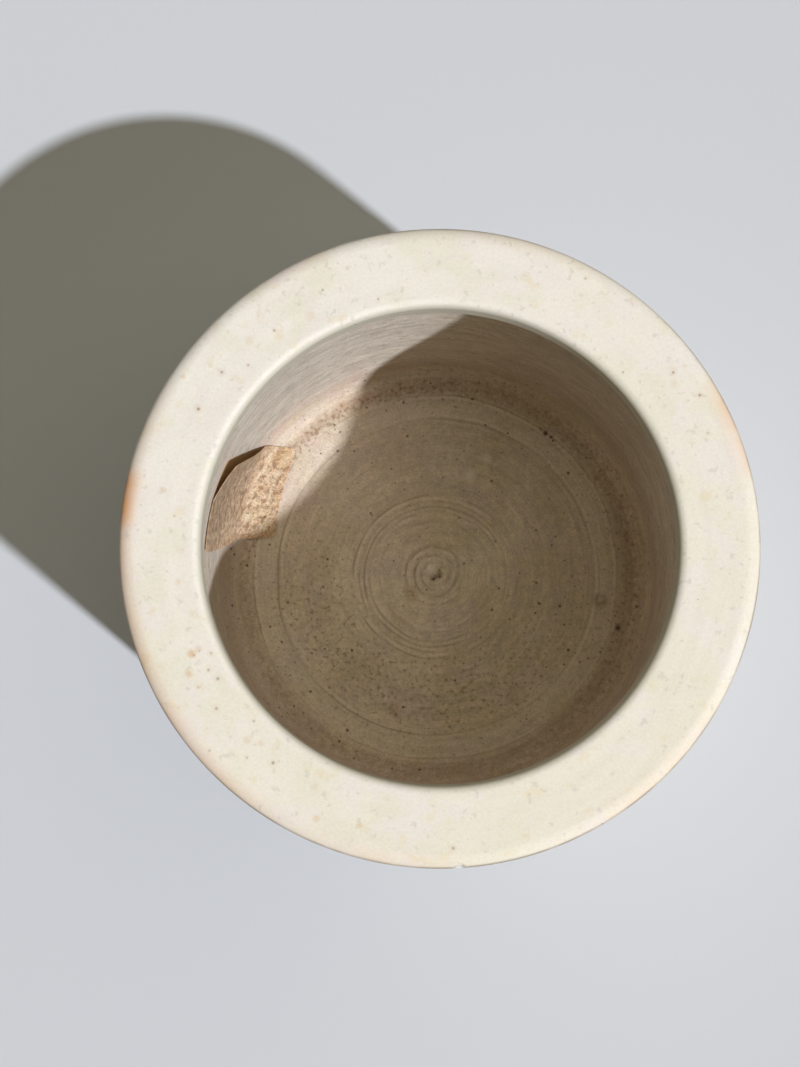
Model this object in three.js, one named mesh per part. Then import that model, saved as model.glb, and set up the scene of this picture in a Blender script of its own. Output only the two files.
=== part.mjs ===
// A brush pot of thrown stoneware: a thick, nearly straight pot with a broad flat rim folded
// inwards over its mouth, and an old paper label pasted inside, peeling at one corner.
// Millimetres, +Z up, with the origin on the table under the middle of the pot.
import * as THREE from "three";

// Sizes of the thrown body
const rimDiameter = 150;
const rimWidth = 19.2; // breadth of the flat rim, from its outer edge to the mouth
const insideDepth = 133.4; // from the rim's flat top down to the floor
const floorThickness = 5.4;
const bodySpread = 0.8; // how far the body stands out past the rim at the table
const wallThicknessLow = 11.3; // at the shoulder, where the wall stands on the base
const wallThicknessHigh = 8.9; // under the rim
const wallSwell = 0.35; // how far the inside bows outwards between the two
const coveRise = 18.1; // height of the rounded corner between floor and wall
const coveRun = 4.9;
const coveFloorPull = 2.8; // how long the cove keeps the floor's direction
const coveWallPull = 12.2; // how long it keeps the wall's

// Sizes of the folded rim
const rimFoldHeight = 25; // from the flat top down to the seat on the wall
const lipThickness = 10; // at the mouth
const outerEdgeRun = 3.6; // breadth of the worn outer edge, seen from above
const outerEdgeDrop = 2.4; // and its height, seen from the side
const mouthEdgeRound = 2.2;
const mouthUnderRound = 3.2;
const foldStraight = 11; // how long the fold keeps the wall's direction
const foldReach = 7.5; // how long it keeps the lip's

// Sizes of the foot
const footHeight = 2.2;
const footWidth = 9;
const footInset = 4.3; // from the body's side in to the foot ring
const footEdgeBevel = 0.6;
const baseBevelHeight = 3.6;
const baseBevelRun = 2.4;
const undersideRise = 0.8; // the underside is a little hollow inside the foot ring

// Throwing marks on the floor: radii of the rings, and the spiral around the button
const ringRadii = [53.9, 46.7, 24.5, 21.9, 19.3];
const ringWidth = 1.7;
const ringDepth = 0.4;
const spiralZone = 13;
const spiralRowSpacing = 0.75;
const spiralStart = 2.9;
const spiralEnd = 10.2;
const spiralPitch = 2.5;
const spiralHeight = 0.28;
const buttonRadius = 2.2;
const buttonHeight = 1.1;
const buttonX = -1.2;
const buttonY = 2.2;

// Sizes of the paper label, and where it is pasted
const labelWidth = 30.9; // where both of its sides are broadest
const labelLength = 53.5;
const upperSideTaper = 0.03; // share of the half width that a side loses over half the length
const upperSideBroadest = -0.6; // where along the label it is broadest, from -1 at the floor to 1
const lowerSideTaper = 0.19;
const lowerSideBroadest = -0.07;
const floorEndBow = 0.6; // how far the end on the floor bows outwards
const labelThickness = 0.3;
const labelClearance = 0.3;
const labelTilt = THREE.MathUtils.degToRad(14.6);
const labelAzimuth = THREE.MathUtils.degToRad(159.4);
const labelMiddle = 19.2; // how far up the cove the middle of the label is, from the floor's edge
const bridgeLift = 0.72; // how far the stiff paper stands off where it spans the cove
const bridgeLean = 0.9; // how much more of that is at its lower side, and less at its upper one
const bridgeMiddle = 10.3; // how far up from the floor's edge that is
const bridgeSpread = 9.6;
const peelLift = 2.7; // how far the loose corner stands off the wall
const peelAcross = 11.8; // how far the loose part reaches along the label's top edge
const peelDown = 39.6; // and along its side
const peelCurl = 3.2; // how soon it comes off the wall along the side

// Fineness of the facets
const turnSteps = 72;
const edgeSteps = 4;
const coveSteps = 9;
const wallSteps = 5;
const foldSteps = 7;
const undersideSteps = 3;
const labelStepsAcross = 12;
const labelStepsAlong = 18;

// Heights and radii that follow from the sizes
const rimRadius = rimDiameter / 2;
const mouthRadius = rimRadius - rimWidth;
const floorTop = footHeight + floorThickness;
const rimTop = floorTop + insideDepth;
const shoulderHeight = floorTop + coveRise;
const rimSeatHeight = rimTop - rimFoldHeight;
const bodyRadiusAt = (height) => rimRadius + (bodySpread * (rimTop - height)) / rimTop;
const insideRadiusLow = bodyRadiusAt(shoulderHeight) - wallThicknessLow;
const insideRadiusHigh = bodyRadiusAt(rimSeatHeight) - wallThicknessHigh;
const floorRadius = insideRadiusLow - coveRun;
const baseBevelTop = footHeight + baseBevelHeight;
const baseUndersideRadius = bodyRadiusAt(baseBevelTop) - baseBevelRun;
const footOuterRadius = bodyRadiusAt(footHeight) - footInset;
const footInnerRadius = footOuterRadius - footWidth;

// Profile points are radius and height
const at = (radius, height) => new THREE.Vector2(radius, height);

// The inside of the pot, from the middle of the floor out and up to the rim's seat
const floorLine = new THREE.LineCurve(at(0, floorTop), at(floorRadius, floorTop));
const wallSlope = (insideRadiusHigh - insideRadiusLow) / (rimSeatHeight - shoulderHeight);
const coveCurve = new THREE.CubicBezierCurve(
  at(floorRadius, floorTop),
  at(floorRadius + coveFloorPull, floorTop),
  at(insideRadiusLow - wallSlope * coveWallPull, shoulderHeight - coveWallPull),
  at(insideRadiusLow, shoulderHeight),
);
const wallCurve = new THREE.QuadraticBezierCurve(
  at(insideRadiusLow, shoulderHeight),
  at(
    (insideRadiusLow + insideRadiusHigh) / 2 + 2 * wallSwell,
    (shoulderHeight + rimSeatHeight) / 2,
  ),
  at(insideRadiusHigh, rimSeatHeight),
);
const insideProfile = new THREE.CurvePath();
insideProfile.add(floorLine);
insideProfile.add(coveCurve);
insideProfile.add(wallCurve);

// Turns a profile about the pot's upright axis, as the wheel does
function turn(profile) {
  const geometry = new THREE.LatheGeometry(profile, turnSteps);
  geometry.rotateX(Math.PI / 2);
  return geometry;
}

// A quarter round of a profile, from one angle to another about its own centre
function round(centreRadius, centreHeight, run, rise, fromDegrees, toDegrees) {
  const arc = new THREE.EllipseCurve(
    centreRadius,
    centreHeight,
    run,
    rise,
    THREE.MathUtils.degToRad(fromDegrees),
    THREE.MathUtils.degToRad(toDegrees),
    toDegrees < fromDegrees,
  );
  return arc.getPoints(edgeSteps);
}

// A closed profile comes back to its first point
const closed = (profile) => [...profile, profile[0].clone()];

function makeMesh(name, geometry, material) {
  const mesh = new THREE.Mesh(geometry, material);
  mesh.name = name;
  return mesh;
}

// Base: the thrown floor with its cove, standing on the foot ring
function baseProfile() {
  const underside = [];
  for (let step = 0; step < undersideSteps; step += 1) {
    const share = step / undersideSteps;
    underside.push(at(footInnerRadius * share, footHeight + undersideRise * (1 - share * share)));
  }
  const rings = ringRadii.flatMap((radius) => [
    at(radius + ringWidth / 2, floorTop),
    at(radius, floorTop - ringDepth),
    at(radius - ringWidth / 2, floorTop),
  ]);
  const spiralRows = [];
  for (let radius = spiralZone; radius > spiralRowSpacing / 2; radius -= spiralRowSpacing) {
    spiralRows.push(at(radius, floorTop));
  }
  return [
    ...underside,
    at(footInnerRadius, footHeight),
    at(baseUndersideRadius, footHeight),
    at(bodyRadiusAt(baseBevelTop), baseBevelTop),
    at(bodyRadiusAt(shoulderHeight), shoulderHeight),
    ...coveCurve.getPoints(coveSteps).reverse(),
    ...rings,
    ...spiralRows,
    at(0, floorTop),
  ];
}

// Height of the button and of the spiral ridge that the thumb left round it
function thumbMark(x, y) {
  const eastward = x - buttonX;
  const northward = y - buttonY;
  const radius = Math.hypot(eastward, northward);
  const angle = Math.atan2(northward, eastward);
  const button = buttonHeight * Math.max(0, 1 - (radius / buttonRadius) ** 2);
  const nearness =
    THREE.MathUtils.smoothstep(radius, buttonRadius, spiralStart) *
    (1 - THREE.MathUtils.smoothstep(radius, spiralEnd - spiralPitch, spiralEnd));
  return button + spiralHeight * nearness * Math.cos((2 * Math.PI * radius) / spiralPitch - angle);
}

function makeBase(material) {
  const geometry = turn(baseProfile());
  const position = geometry.attributes.position;
  const middleOfFloor = floorTop - floorThickness / 4;
  for (let i = 0; i < position.count; i += 1) {
    const x = position.getX(i);
    const y = position.getY(i);
    if (position.getZ(i) > middleOfFloor && Math.hypot(x, y) < spiralZone) {
      position.setZ(i, floorTop + thumbMark(x, y));
    }
  }
  return makeMesh("base", geometry, material);
}

// Wall: stands on the base's shoulder and carries the rim
function makeWall(material) {
  const profile = [
    at(bodyRadiusAt(shoulderHeight), shoulderHeight),
    at(bodyRadiusAt(rimSeatHeight), rimSeatHeight),
    ...wallCurve.getPoints(wallSteps).reverse(),
  ];
  return makeMesh("wall", turn(closed(profile)), material);
}

// Rim: a broad flat lip that folds inwards over the wall
function makeRim(material) {
  const underLip = rimTop - lipThickness;
  const mouthRound = (height, size, fromDegrees, toDegrees) =>
    round(mouthRadius + size, height, size, size, fromDegrees, toDegrees);
  const foldCurve = new THREE.CubicBezierCurve(
    at(mouthRadius + mouthUnderRound, underLip),
    at(mouthRadius + mouthUnderRound + foldReach, underLip),
    at(insideRadiusHigh, rimSeatHeight + foldStraight),
    at(insideRadiusHigh, rimSeatHeight),
  );
  const profile = [
    at(bodyRadiusAt(rimSeatHeight), rimSeatHeight),
    ...round(rimRadius - outerEdgeRun, rimTop - outerEdgeDrop, outerEdgeRun, outerEdgeDrop, 0, 90),
    ...mouthRound(rimTop - mouthEdgeRound, mouthEdgeRound, 90, 180),
    ...mouthRound(underLip + mouthUnderRound, mouthUnderRound, 180, 270),
    ...foldCurve.getPoints(foldSteps).slice(1),
  ];
  return makeMesh("rim", turn(closed(profile)), material);
}

// Foot ring: the turned ring that the pot stands on
function makeFootRing(material) {
  const profile = [
    at(footInnerRadius, footHeight),
    at(footInnerRadius, footEdgeBevel),
    at(footInnerRadius + footEdgeBevel, 0),
    at(footOuterRadius - footEdgeBevel, 0),
    at(footOuterRadius, footEdgeBevel),
    at(footOuterRadius, footHeight),
  ];
  return makeMesh("foot_ring", turn(closed(profile)), material);
}

// Half the label's width at a share of its length, by its upper or its lower side
const halfWidth = (share, taper, broadest) => (labelWidth / 2) * (1 - taper * (share - broadest) ** 2);
const upperHalfWidth = (share) => halfWidth(share, upperSideTaper, upperSideBroadest);
const lowerHalfWidth = (share) => halfWidth(share, lowerSideTaper, lowerSideBroadest);

// How far the label's loose corner stands off the pot, at a place across and along the label
function peelAt(across, along) {
  const fromSide = upperHalfWidth(along / (labelLength / 2)) - across;
  const fromTop = labelLength / 2 - along;
  const looseAcross = THREE.MathUtils.clamp(1 - fromSide / peelAcross, 0, 1);
  const looseAlong = THREE.MathUtils.clamp(1 - fromTop / peelDown, 0, 1);
  return peelLift * looseAcross * (1 - (1 - looseAlong) ** peelCurl);
}

// How far the label stands off the cove that it spans
function bridgeAt(across, upwards) {
  const lean = 1 - (bridgeLean * across) / (labelWidth / 2);
  return bridgeLift * lean * Math.exp(-(((upwards - bridgeMiddle) / bridgeSpread) ** 2));
}

// A point on the label: pasted over floor, cove and wall, at a depth through the paper
function labelPoint(across, along, depth) {
  const sideways = across * Math.cos(labelTilt) - along * Math.sin(labelTilt);
  const upwards = labelMiddle + across * Math.sin(labelTilt) + along * Math.cos(labelTilt);
  const share = (floorRadius + upwards) / insideProfile.getLength();
  const seat = insideProfile.getPoint(share);
  const direction = insideProfile.getTangent(share);
  const lift = bridgeAt(across, upwards) + peelAt(across, along);
  const standOff = labelClearance + depth + lift;
  const radius = seat.x - direction.y * standOff;
  const azimuth = labelAzimuth - sideways / seat.x;
  return new THREE.Vector3(
    radius * Math.cos(azimuth),
    radius * Math.sin(azimuth),
    seat.y + direction.x * standOff,
  );
}

// Paper label: a flat slip of paper, bent to the inside of the pot
function makeLabel(material) {
  const geometry = new THREE.BoxGeometry(
    labelWidth,
    labelLength,
    labelThickness,
    labelStepsAcross,
    labelStepsAlong,
    1,
  );
  const position = geometry.attributes.position;
  for (let i = 0; i < position.count; i += 1) {
    const side = position.getX(i) / (labelWidth / 2);
    const share = position.getY(i) / (labelLength / 2);
    const upper = upperHalfWidth(share);
    const lower = lowerHalfWidth(share);
    const across = ((1 + side) * upper - (1 - side) * lower) / 2;
    const bow = floorEndBow * (1 - side ** 2) * ((1 - share) / 2);
    const along = position.getY(i) - bow;
    const depth = labelThickness / 2 + position.getZ(i);
    const bent = labelPoint(across, along, depth);
    position.setXYZ(i, bent.x, bent.y, bent.z);
  }
  return makeMesh("paper_label", geometry, material);
}

// Materials
const creamGlaze = new THREE.MeshStandardMaterial({ color: 0xe8e2d4, roughness: 0.55, metalness: 0 });
const insideGlaze = new THREE.MeshStandardMaterial({ color: 0xd6cbb4, roughness: 0.6, metalness: 0 });
const bareClay = new THREE.MeshStandardMaterial({ color: 0xb89a78, roughness: 0.9, metalness: 0 });
const agedPaper = new THREE.MeshStandardMaterial({ color: 0xc6a283, roughness: 0.85, metalness: 0 });

// The pot, from the table up
const pot = new THREE.Group();
pot.name = "brush_pot";
pot.add(makeFootRing(bareClay));
pot.add(makeBase(insideGlaze));
pot.add(makeWall(creamGlaze));
pot.add(makeRim(creamGlaze));
pot.add(makeLabel(agedPaper));

export default pot;
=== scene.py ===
"""The looks of a brush pot of thrown stoneware, seen from above into its mouth.

Lengths are millimetres unless a name says otherwise, and MM turns them into Blender's metres.
+Z is up, out of the mouth, and the origin is on the table under the middle of the pot.
"""

import logging
import math
from abc import ABC, abstractmethod
from collections.abc import Callable, Mapping, Sequence
from dataclasses import dataclass
from enum import Enum
from typing import ClassVar

import bpy
from mathutils import Matrix, Vector, noise


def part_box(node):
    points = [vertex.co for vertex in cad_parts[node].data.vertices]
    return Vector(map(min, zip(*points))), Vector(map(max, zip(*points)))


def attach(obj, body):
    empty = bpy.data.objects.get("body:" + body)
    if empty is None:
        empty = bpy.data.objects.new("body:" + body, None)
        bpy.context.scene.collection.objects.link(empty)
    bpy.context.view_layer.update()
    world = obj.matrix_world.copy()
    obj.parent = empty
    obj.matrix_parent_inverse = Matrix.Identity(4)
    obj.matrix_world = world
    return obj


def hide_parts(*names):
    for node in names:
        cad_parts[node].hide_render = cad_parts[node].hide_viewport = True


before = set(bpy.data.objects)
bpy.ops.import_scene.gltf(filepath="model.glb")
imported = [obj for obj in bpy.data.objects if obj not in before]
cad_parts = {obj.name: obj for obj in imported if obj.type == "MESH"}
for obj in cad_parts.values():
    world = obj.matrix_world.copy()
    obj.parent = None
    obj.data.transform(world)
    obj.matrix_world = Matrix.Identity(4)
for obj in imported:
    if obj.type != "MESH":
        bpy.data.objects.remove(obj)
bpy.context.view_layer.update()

MM = 0.001
ROOT = "root"
MIX_SOCKETS = (0, 6, 7)
NOISE_MIDDLE = 0.5

Point = tuple[float, float]
Band = tuple[float, float]
Side = tuple[float, float]
Row = tuple[float, float, float, float]
Colour = tuple[float, float, float, float]
Socket = bpy.types.NodeSocket
Signal = Socket | float | tuple[float, ...]

log = logging.getLogger("brush_pot")


def srgb(red: int, green: int, blue: int) -> Colour:
    """A colour written as a screen shows it, made linear for a shader.

    Args:
        red: Red, from 0 to 255.
        green: Green, from 0 to 255.
        blue: Blue, from 0 to 255.

    Returns:
        The linear colour with full alpha.
    """

    def linear(part: int) -> float:
        """One part of the colour, made linear."""
        share = part / 255
        return share / 12.92 if share <= 0.04045 else ((share + 0.055) / 1.055) ** 2.4

    return (linear(red), linear(green), linear(blue), 1.0)


def smoothstep(value: float, low: float, high: float) -> float:
    """A smooth step from 0 at low to 1 at high.

    Args:
        value: The value to place on the step.
        low: Where the step starts.
        high: Where it ends.

    Returns:
        The height of the step, from 0 to 1.
    """
    share = min(1.0, max(0.0, (value - low) / (high - low)))
    return share * share * (3 - 2 * share)


class Fineness(Enum):
    """How many facets go round a turned piece."""

    SEEN = 288
    CLOSE = 320


class Zone(Enum):
    """The material slot that a face of the pot takes."""

    OUTSIDE = 0
    INSIDE = 1


class ProfilePen:
    """Draws the outline of a turned piece as radius and height, from point to point."""

    def __init__(self, radius: float, height: float) -> None:
        """Puts the pen down.

        Args:
            radius: Distance from the pot's axis.
            height: Height over the table.
        """
        self.points: list[Point] = [(radius, height)]

    def line(self, radius: float, height: float, spacing: float = 1000.0) -> "ProfilePen":
        """Draws a straight stretch.

        Args:
            radius: Radius where it ends.
            height: Height where it ends.
            spacing: The most that its points may be apart.

        Returns:
            The pen.
        """
        from_radius, from_height = self.points[-1]
        run, rise = radius - from_radius, height - from_height
        steps = max(1, math.ceil(math.hypot(run, rise) / spacing))
        for step in range(1, steps + 1):
            share = step / steps
            self.points.append((from_radius + run * share, from_height + rise * share))
        return self

    def quarter(self, centre: Point, run: float, rise: float, start: float, steps: int) -> None:
        """Draws a quarter of an ellipse, turning left.

        Args:
            centre: Radius and height of its centre.
            run: Its half breadth.
            rise: Its half height.
            start: The angle it starts at, in degrees.
            steps: How many points it has.
        """
        for step in range(1, steps + 1):
            angle = math.radians(start + 90 * step / steps)
            out, up = run * math.cos(angle), rise * math.sin(angle)
            self.points.append((centre[0] + out, centre[1] + up))

    def curve(self, pull: Point, push: Point, end: Point, steps: int) -> "ProfilePen":
        """Draws a cubic curve.

        Args:
            pull: The control point after the start.
            push: The control point before the end.
            end: Where it ends.
            steps: How many points it has.

        Returns:
            The pen.
        """
        start = Vector(self.points[-1])
        for step in range(1, steps + 1):
            share = step / steps
            rest = 1 - share
            place = (
                start * rest**3
                + Vector(pull) * 3 * rest * rest * share
                + Vector(push) * 3 * rest * share * share
                + Vector(end) * share**3
            )
            self.points.append((place.x, place.y))
        return self

    def back_along(self, other: "ProfilePen") -> None:
        """Draws another pen's stretch backwards, from its last point but one."""
        for radius, height in reversed(other.points[:-1]):
            self.line(radius, height)


@dataclass(frozen=True)
class PotSizes:
    """The thrown pot's sizes. Those that the frame holds are read from it."""

    table: float = 0.0
    foot_top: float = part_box("foot_ring")[1].z / MM
    foot_radius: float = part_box("foot_ring")[1].x / MM
    shoulder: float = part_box("wall")[0].z / MM
    rim_seat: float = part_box("rim")[0].z / MM
    rim_top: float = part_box("rim")[1].z / MM
    rim_radius: float = 75.0
    mouth_radius: float = 55.8
    body_spread: float = 0.8
    foot_width: float = 9.0
    floor_thickness: float = 5.4
    wall_low: float = 11.3
    wall_high: float = 8.9
    wall_swell: float = 0.35
    cove_run: float = 4.9
    cove_floor_pull: float = 2.8
    cove_wall_pull: float = 12.2

    @property
    def foot_inner(self) -> float:
        """Inner radius of the foot ring."""
        return self.foot_radius - self.foot_width

    @property
    def floor_top(self) -> float:
        """Height of the floor that the brushes stand on."""
        return self.foot_top + self.floor_thickness

    @property
    def inside_low(self) -> float:
        """Inside radius at the shoulder, where the wall stands on the base."""
        return self.body(self.shoulder) - self.wall_low

    @property
    def inside_high(self) -> float:
        """Inside radius under the rim."""
        return self.body(self.rim_seat) - self.wall_high

    @property
    def floor_radius(self) -> float:
        """Radius at which the flat floor turns up into the cove."""
        return self.inside_low - self.cove_run

    def body(self, height: float) -> float:
        """Outside radius of the body at a height."""
        return self.rim_radius + self.body_spread * (self.rim_top - height) / self.rim_top

    def cove(self, pen: ProfilePen, steps: int) -> ProfilePen:
        """Draws the cove, from the floor's edge up to the shoulder.

        Args:
            pen: A pen that stands on the floor's edge.
            steps: How many points the cove has.

        Returns:
            The pen.
        """
        slope = (self.inside_high - self.inside_low) / (self.rim_seat - self.shoulder)
        return pen.curve(
            (self.floor_radius + self.cove_floor_pull, self.floor_top),
            (
                self.inside_low - slope * self.cove_wall_pull,
                self.shoulder - self.cove_wall_pull,
            ),
            (self.inside_low, self.shoulder),
            steps,
        )

    def inside_wall(self, pen: ProfilePen, steps: int) -> ProfilePen:
        """Draws the inside of the wall, from the shoulder up to the rim's seat.

        Args:
            pen: A pen that stands on the shoulder's inner edge.
            steps: How many points the wall has.

        Returns:
            The pen.
        """
        low = Vector((self.inside_low, self.shoulder))
        high = Vector((self.inside_high, self.rim_seat))
        middle = (low + high) / 2 + Vector((2 * self.wall_swell, 0))
        return pen.curve(
            tuple(low + (middle - low) * 2 / 3),
            tuple(high + (middle - high) * 2 / 3),
            tuple(high),
            steps,
        )


POT = PotSizes()


@dataclass(frozen=True)
class Spot:
    """A mark at a place on the pot, seen from above."""

    x: float
    y: float
    size: float
    strength: float

    def away(self, place: Vector) -> float:
        """Distance of a place from the mark's middle, seen from above."""
        return math.hypot(place.x - self.x, place.y - self.y)


def spots_at(*rows: Row) -> tuple[Spot, ...]:
    """Makes spots from rows of x, y, size and strength."""
    return tuple(Spot(*row) for row in rows)


@dataclass(frozen=True)
class Flash:
    """A stretch of the outer edge where the fire has flushed the clay."""

    azimuth: float
    half_width: float
    strength: float


@dataclass(frozen=True)
class Region:
    """A band round the pot that shows on one side only."""

    middle: float
    breadth: float
    azimuth: float
    half_width: float
    strength: float


@dataclass(frozen=True)
class Mottle:
    """A soft noise, and the values that it gives where it is low and where it is high.

    Scale is its features per millimetre. With a number of features per radian it is drawn out
    round the pot, and slip is how far its way then wanders. Aside keeps it unlike another.
    """

    scale: float
    low: float
    high: float
    start: float = 0.0
    end: float = 1.0
    detail: float = 2.0
    roughness: float = 0.5
    per_radian: float = 0.0
    slip: float = 0.0
    aside: float = 0.0


@dataclass(frozen=True)
class Cloud:
    """Soft patches of another tone."""

    tone: Colour
    mottle: Mottle


@dataclass(frozen=True)
class Speckle:
    """Scattered specks of another tone.

    Spacing and size are millimetres, and share is how many of the places hold a speck.
    """

    tone: Colour
    spacing: float
    size: float
    share: float
    strength: float


@dataclass(frozen=True)
class LabelPlace:
    """Where the flat label is laid into the pot, and its greatest breadth and length."""

    width: float = 30.9
    length: float = 53.5
    tilt: float = 14.6
    azimuth: float = 159.4
    middle: float = 19.2


@dataclass(frozen=True)
class Taper:
    """How one long side of the label bows in, away from where it is broadest."""

    amount: float
    broadest: float


@dataclass(frozen=True)
class Ring:
    """A ring that the thrower's finger left on the floor."""

    radius: float
    depth: float
    line: float


RINGS = (
    Ring(54.6, 0.24, 0.38),
    Ring(47.4, 0.15, 0.34),
    Ring(24.6, 0.17, 0.4),
    Ring(22.6, 0.1, 0.25),
    Ring(21.2, 0.16, 0.35),
    Ring(19.7, 0.12, 0.3),
    Ring(16.7, 0.07, 0.2),
    Ring(8.7, 0.08, 0.35),
    Ring(6.2, 0.08, 0.35),
    Ring(4.0, 0.06, 0.3),
)
BUTTON_AT: Point = (-0.9, 1.7)
LUMP_AT: Point = (49.1, -7.2)
CHIP_AT: Point = (4.4, -74.9)


def lone_object(name: str) -> bpy.types.Object:
    """Names the object that an operator has just made.

    Args:
        name: The piece's name.

    Returns:
        The active object.
    """
    piece = bpy.context.object
    piece.name = name
    piece.data.name = name
    return piece


def select_only(piece: bpy.types.Object) -> None:
    """Selects one piece, makes it active and leaves all else alone.

    Args:
        piece: The piece.
    """
    bpy.ops.object.select_all(action="DESELECT")
    piece.select_set(True)
    bpy.context.view_layer.objects.active = piece


def turn_on_wheel(name: str, outline: Sequence[Point], fineness: Fineness) -> bpy.types.Object:
    """Draws an outline with extrusions and spins it about the pot's axis.

    Args:
        name: The piece's name.
        outline: Radius and height of each point.
        fineness: How many facets go round.

    Returns:
        The turned piece, with its place in its mesh.
    """
    bpy.ops.object.select_all(action="DESELECT")
    first = outline[0]
    bpy.ops.mesh.primitive_plane_add(size=MM, location=(first[0] * MM, 0, first[1] * MM))
    piece = lone_object(name)
    bpy.ops.object.mode_set(mode="EDIT")
    bpy.ops.mesh.merge(type="CENTER")
    for before, after in zip(outline, outline[1:]):
        move = ((after[0] - before[0]) * MM, 0, (after[1] - before[1]) * MM)
        bpy.ops.mesh.extrude_vertices_move(TRANSFORM_OT_translate={"value": move})
    bpy.ops.mesh.select_all(action="SELECT")
    bpy.ops.mesh.spin(steps=fineness.value, angle=math.tau, center=(0, 0, 0), axis=(0, 0, 1))
    bpy.ops.mesh.select_all(action="SELECT")
    bpy.ops.mesh.remove_doubles(threshold=0.001 * MM)
    bpy.ops.mesh.normals_make_consistent(inside=False)
    bpy.ops.object.mode_set(mode="OBJECT")
    bpy.ops.object.transform_apply(location=True, rotation=True, scale=True)
    return piece


def press(
    piece: bpy.types.Object, label: str, relief: Callable[[Vector], float], direction: str = "Z"
) -> None:
    """Raises and lowers a surface by a relief, with one Displace modifier for each.

    Args:
        piece: The piece to press.
        label: A word for the relief.
        relief: Gives the height of the relief in millimetres at a place in millimetres.
        direction: The modifier's direction.
    """
    heights = [relief(vertex.co / MM) for vertex in piece.data.vertices]
    select_only(piece)
    for sign, word in ((1, "raised"), (-1, "pressed")):
        most = max(sign * height for height in heights)
        if most <= 0:
            continue
        title = f"{label}_{word}"
        group = piece.vertex_groups.new(name=title)
        for index, height in enumerate(heights):
            if sign * height > 0:
                group.add([index], sign * height / most, "REPLACE")
        modifier = piece.modifiers.new(title, "DISPLACE")
        modifier.vertex_group = title
        modifier.direction = direction
        modifier.mid_level = 0
        modifier.strength = sign * most * MM
        bpy.ops.object.modifier_apply(modifier=title)
        piece.vertex_groups.remove(piece.vertex_groups[title])


def coat_with(piece: bpy.types.Object, *materials: bpy.types.Material) -> None:
    """Gives a piece its materials, one slot for each.

    Args:
        piece: The piece.
        *materials: The materials, in the order of their slots.
    """
    piece.data.materials.clear()
    for material in materials:
        piece.data.materials.append(material)


def finish_piece(
    piece: bpy.types.Object, nodes: Sequence[str], crease: float = 38.0
) -> None:
    """Smooths a piece, hides the frame's solids that it replaces and hangs it under the root.

    Args:
        piece: The finished piece.
        nodes: The solids that the piece replaces.
        crease: The angle, in degrees, past which an edge stays sharp.
    """
    select_only(piece)
    bpy.ops.object.shade_smooth_by_angle(angle=math.radians(crease))
    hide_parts(*nodes)
    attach(piece, ROOT)
    log.info("%s: %d faces", piece.name, len(piece.data.polygons))


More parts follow.
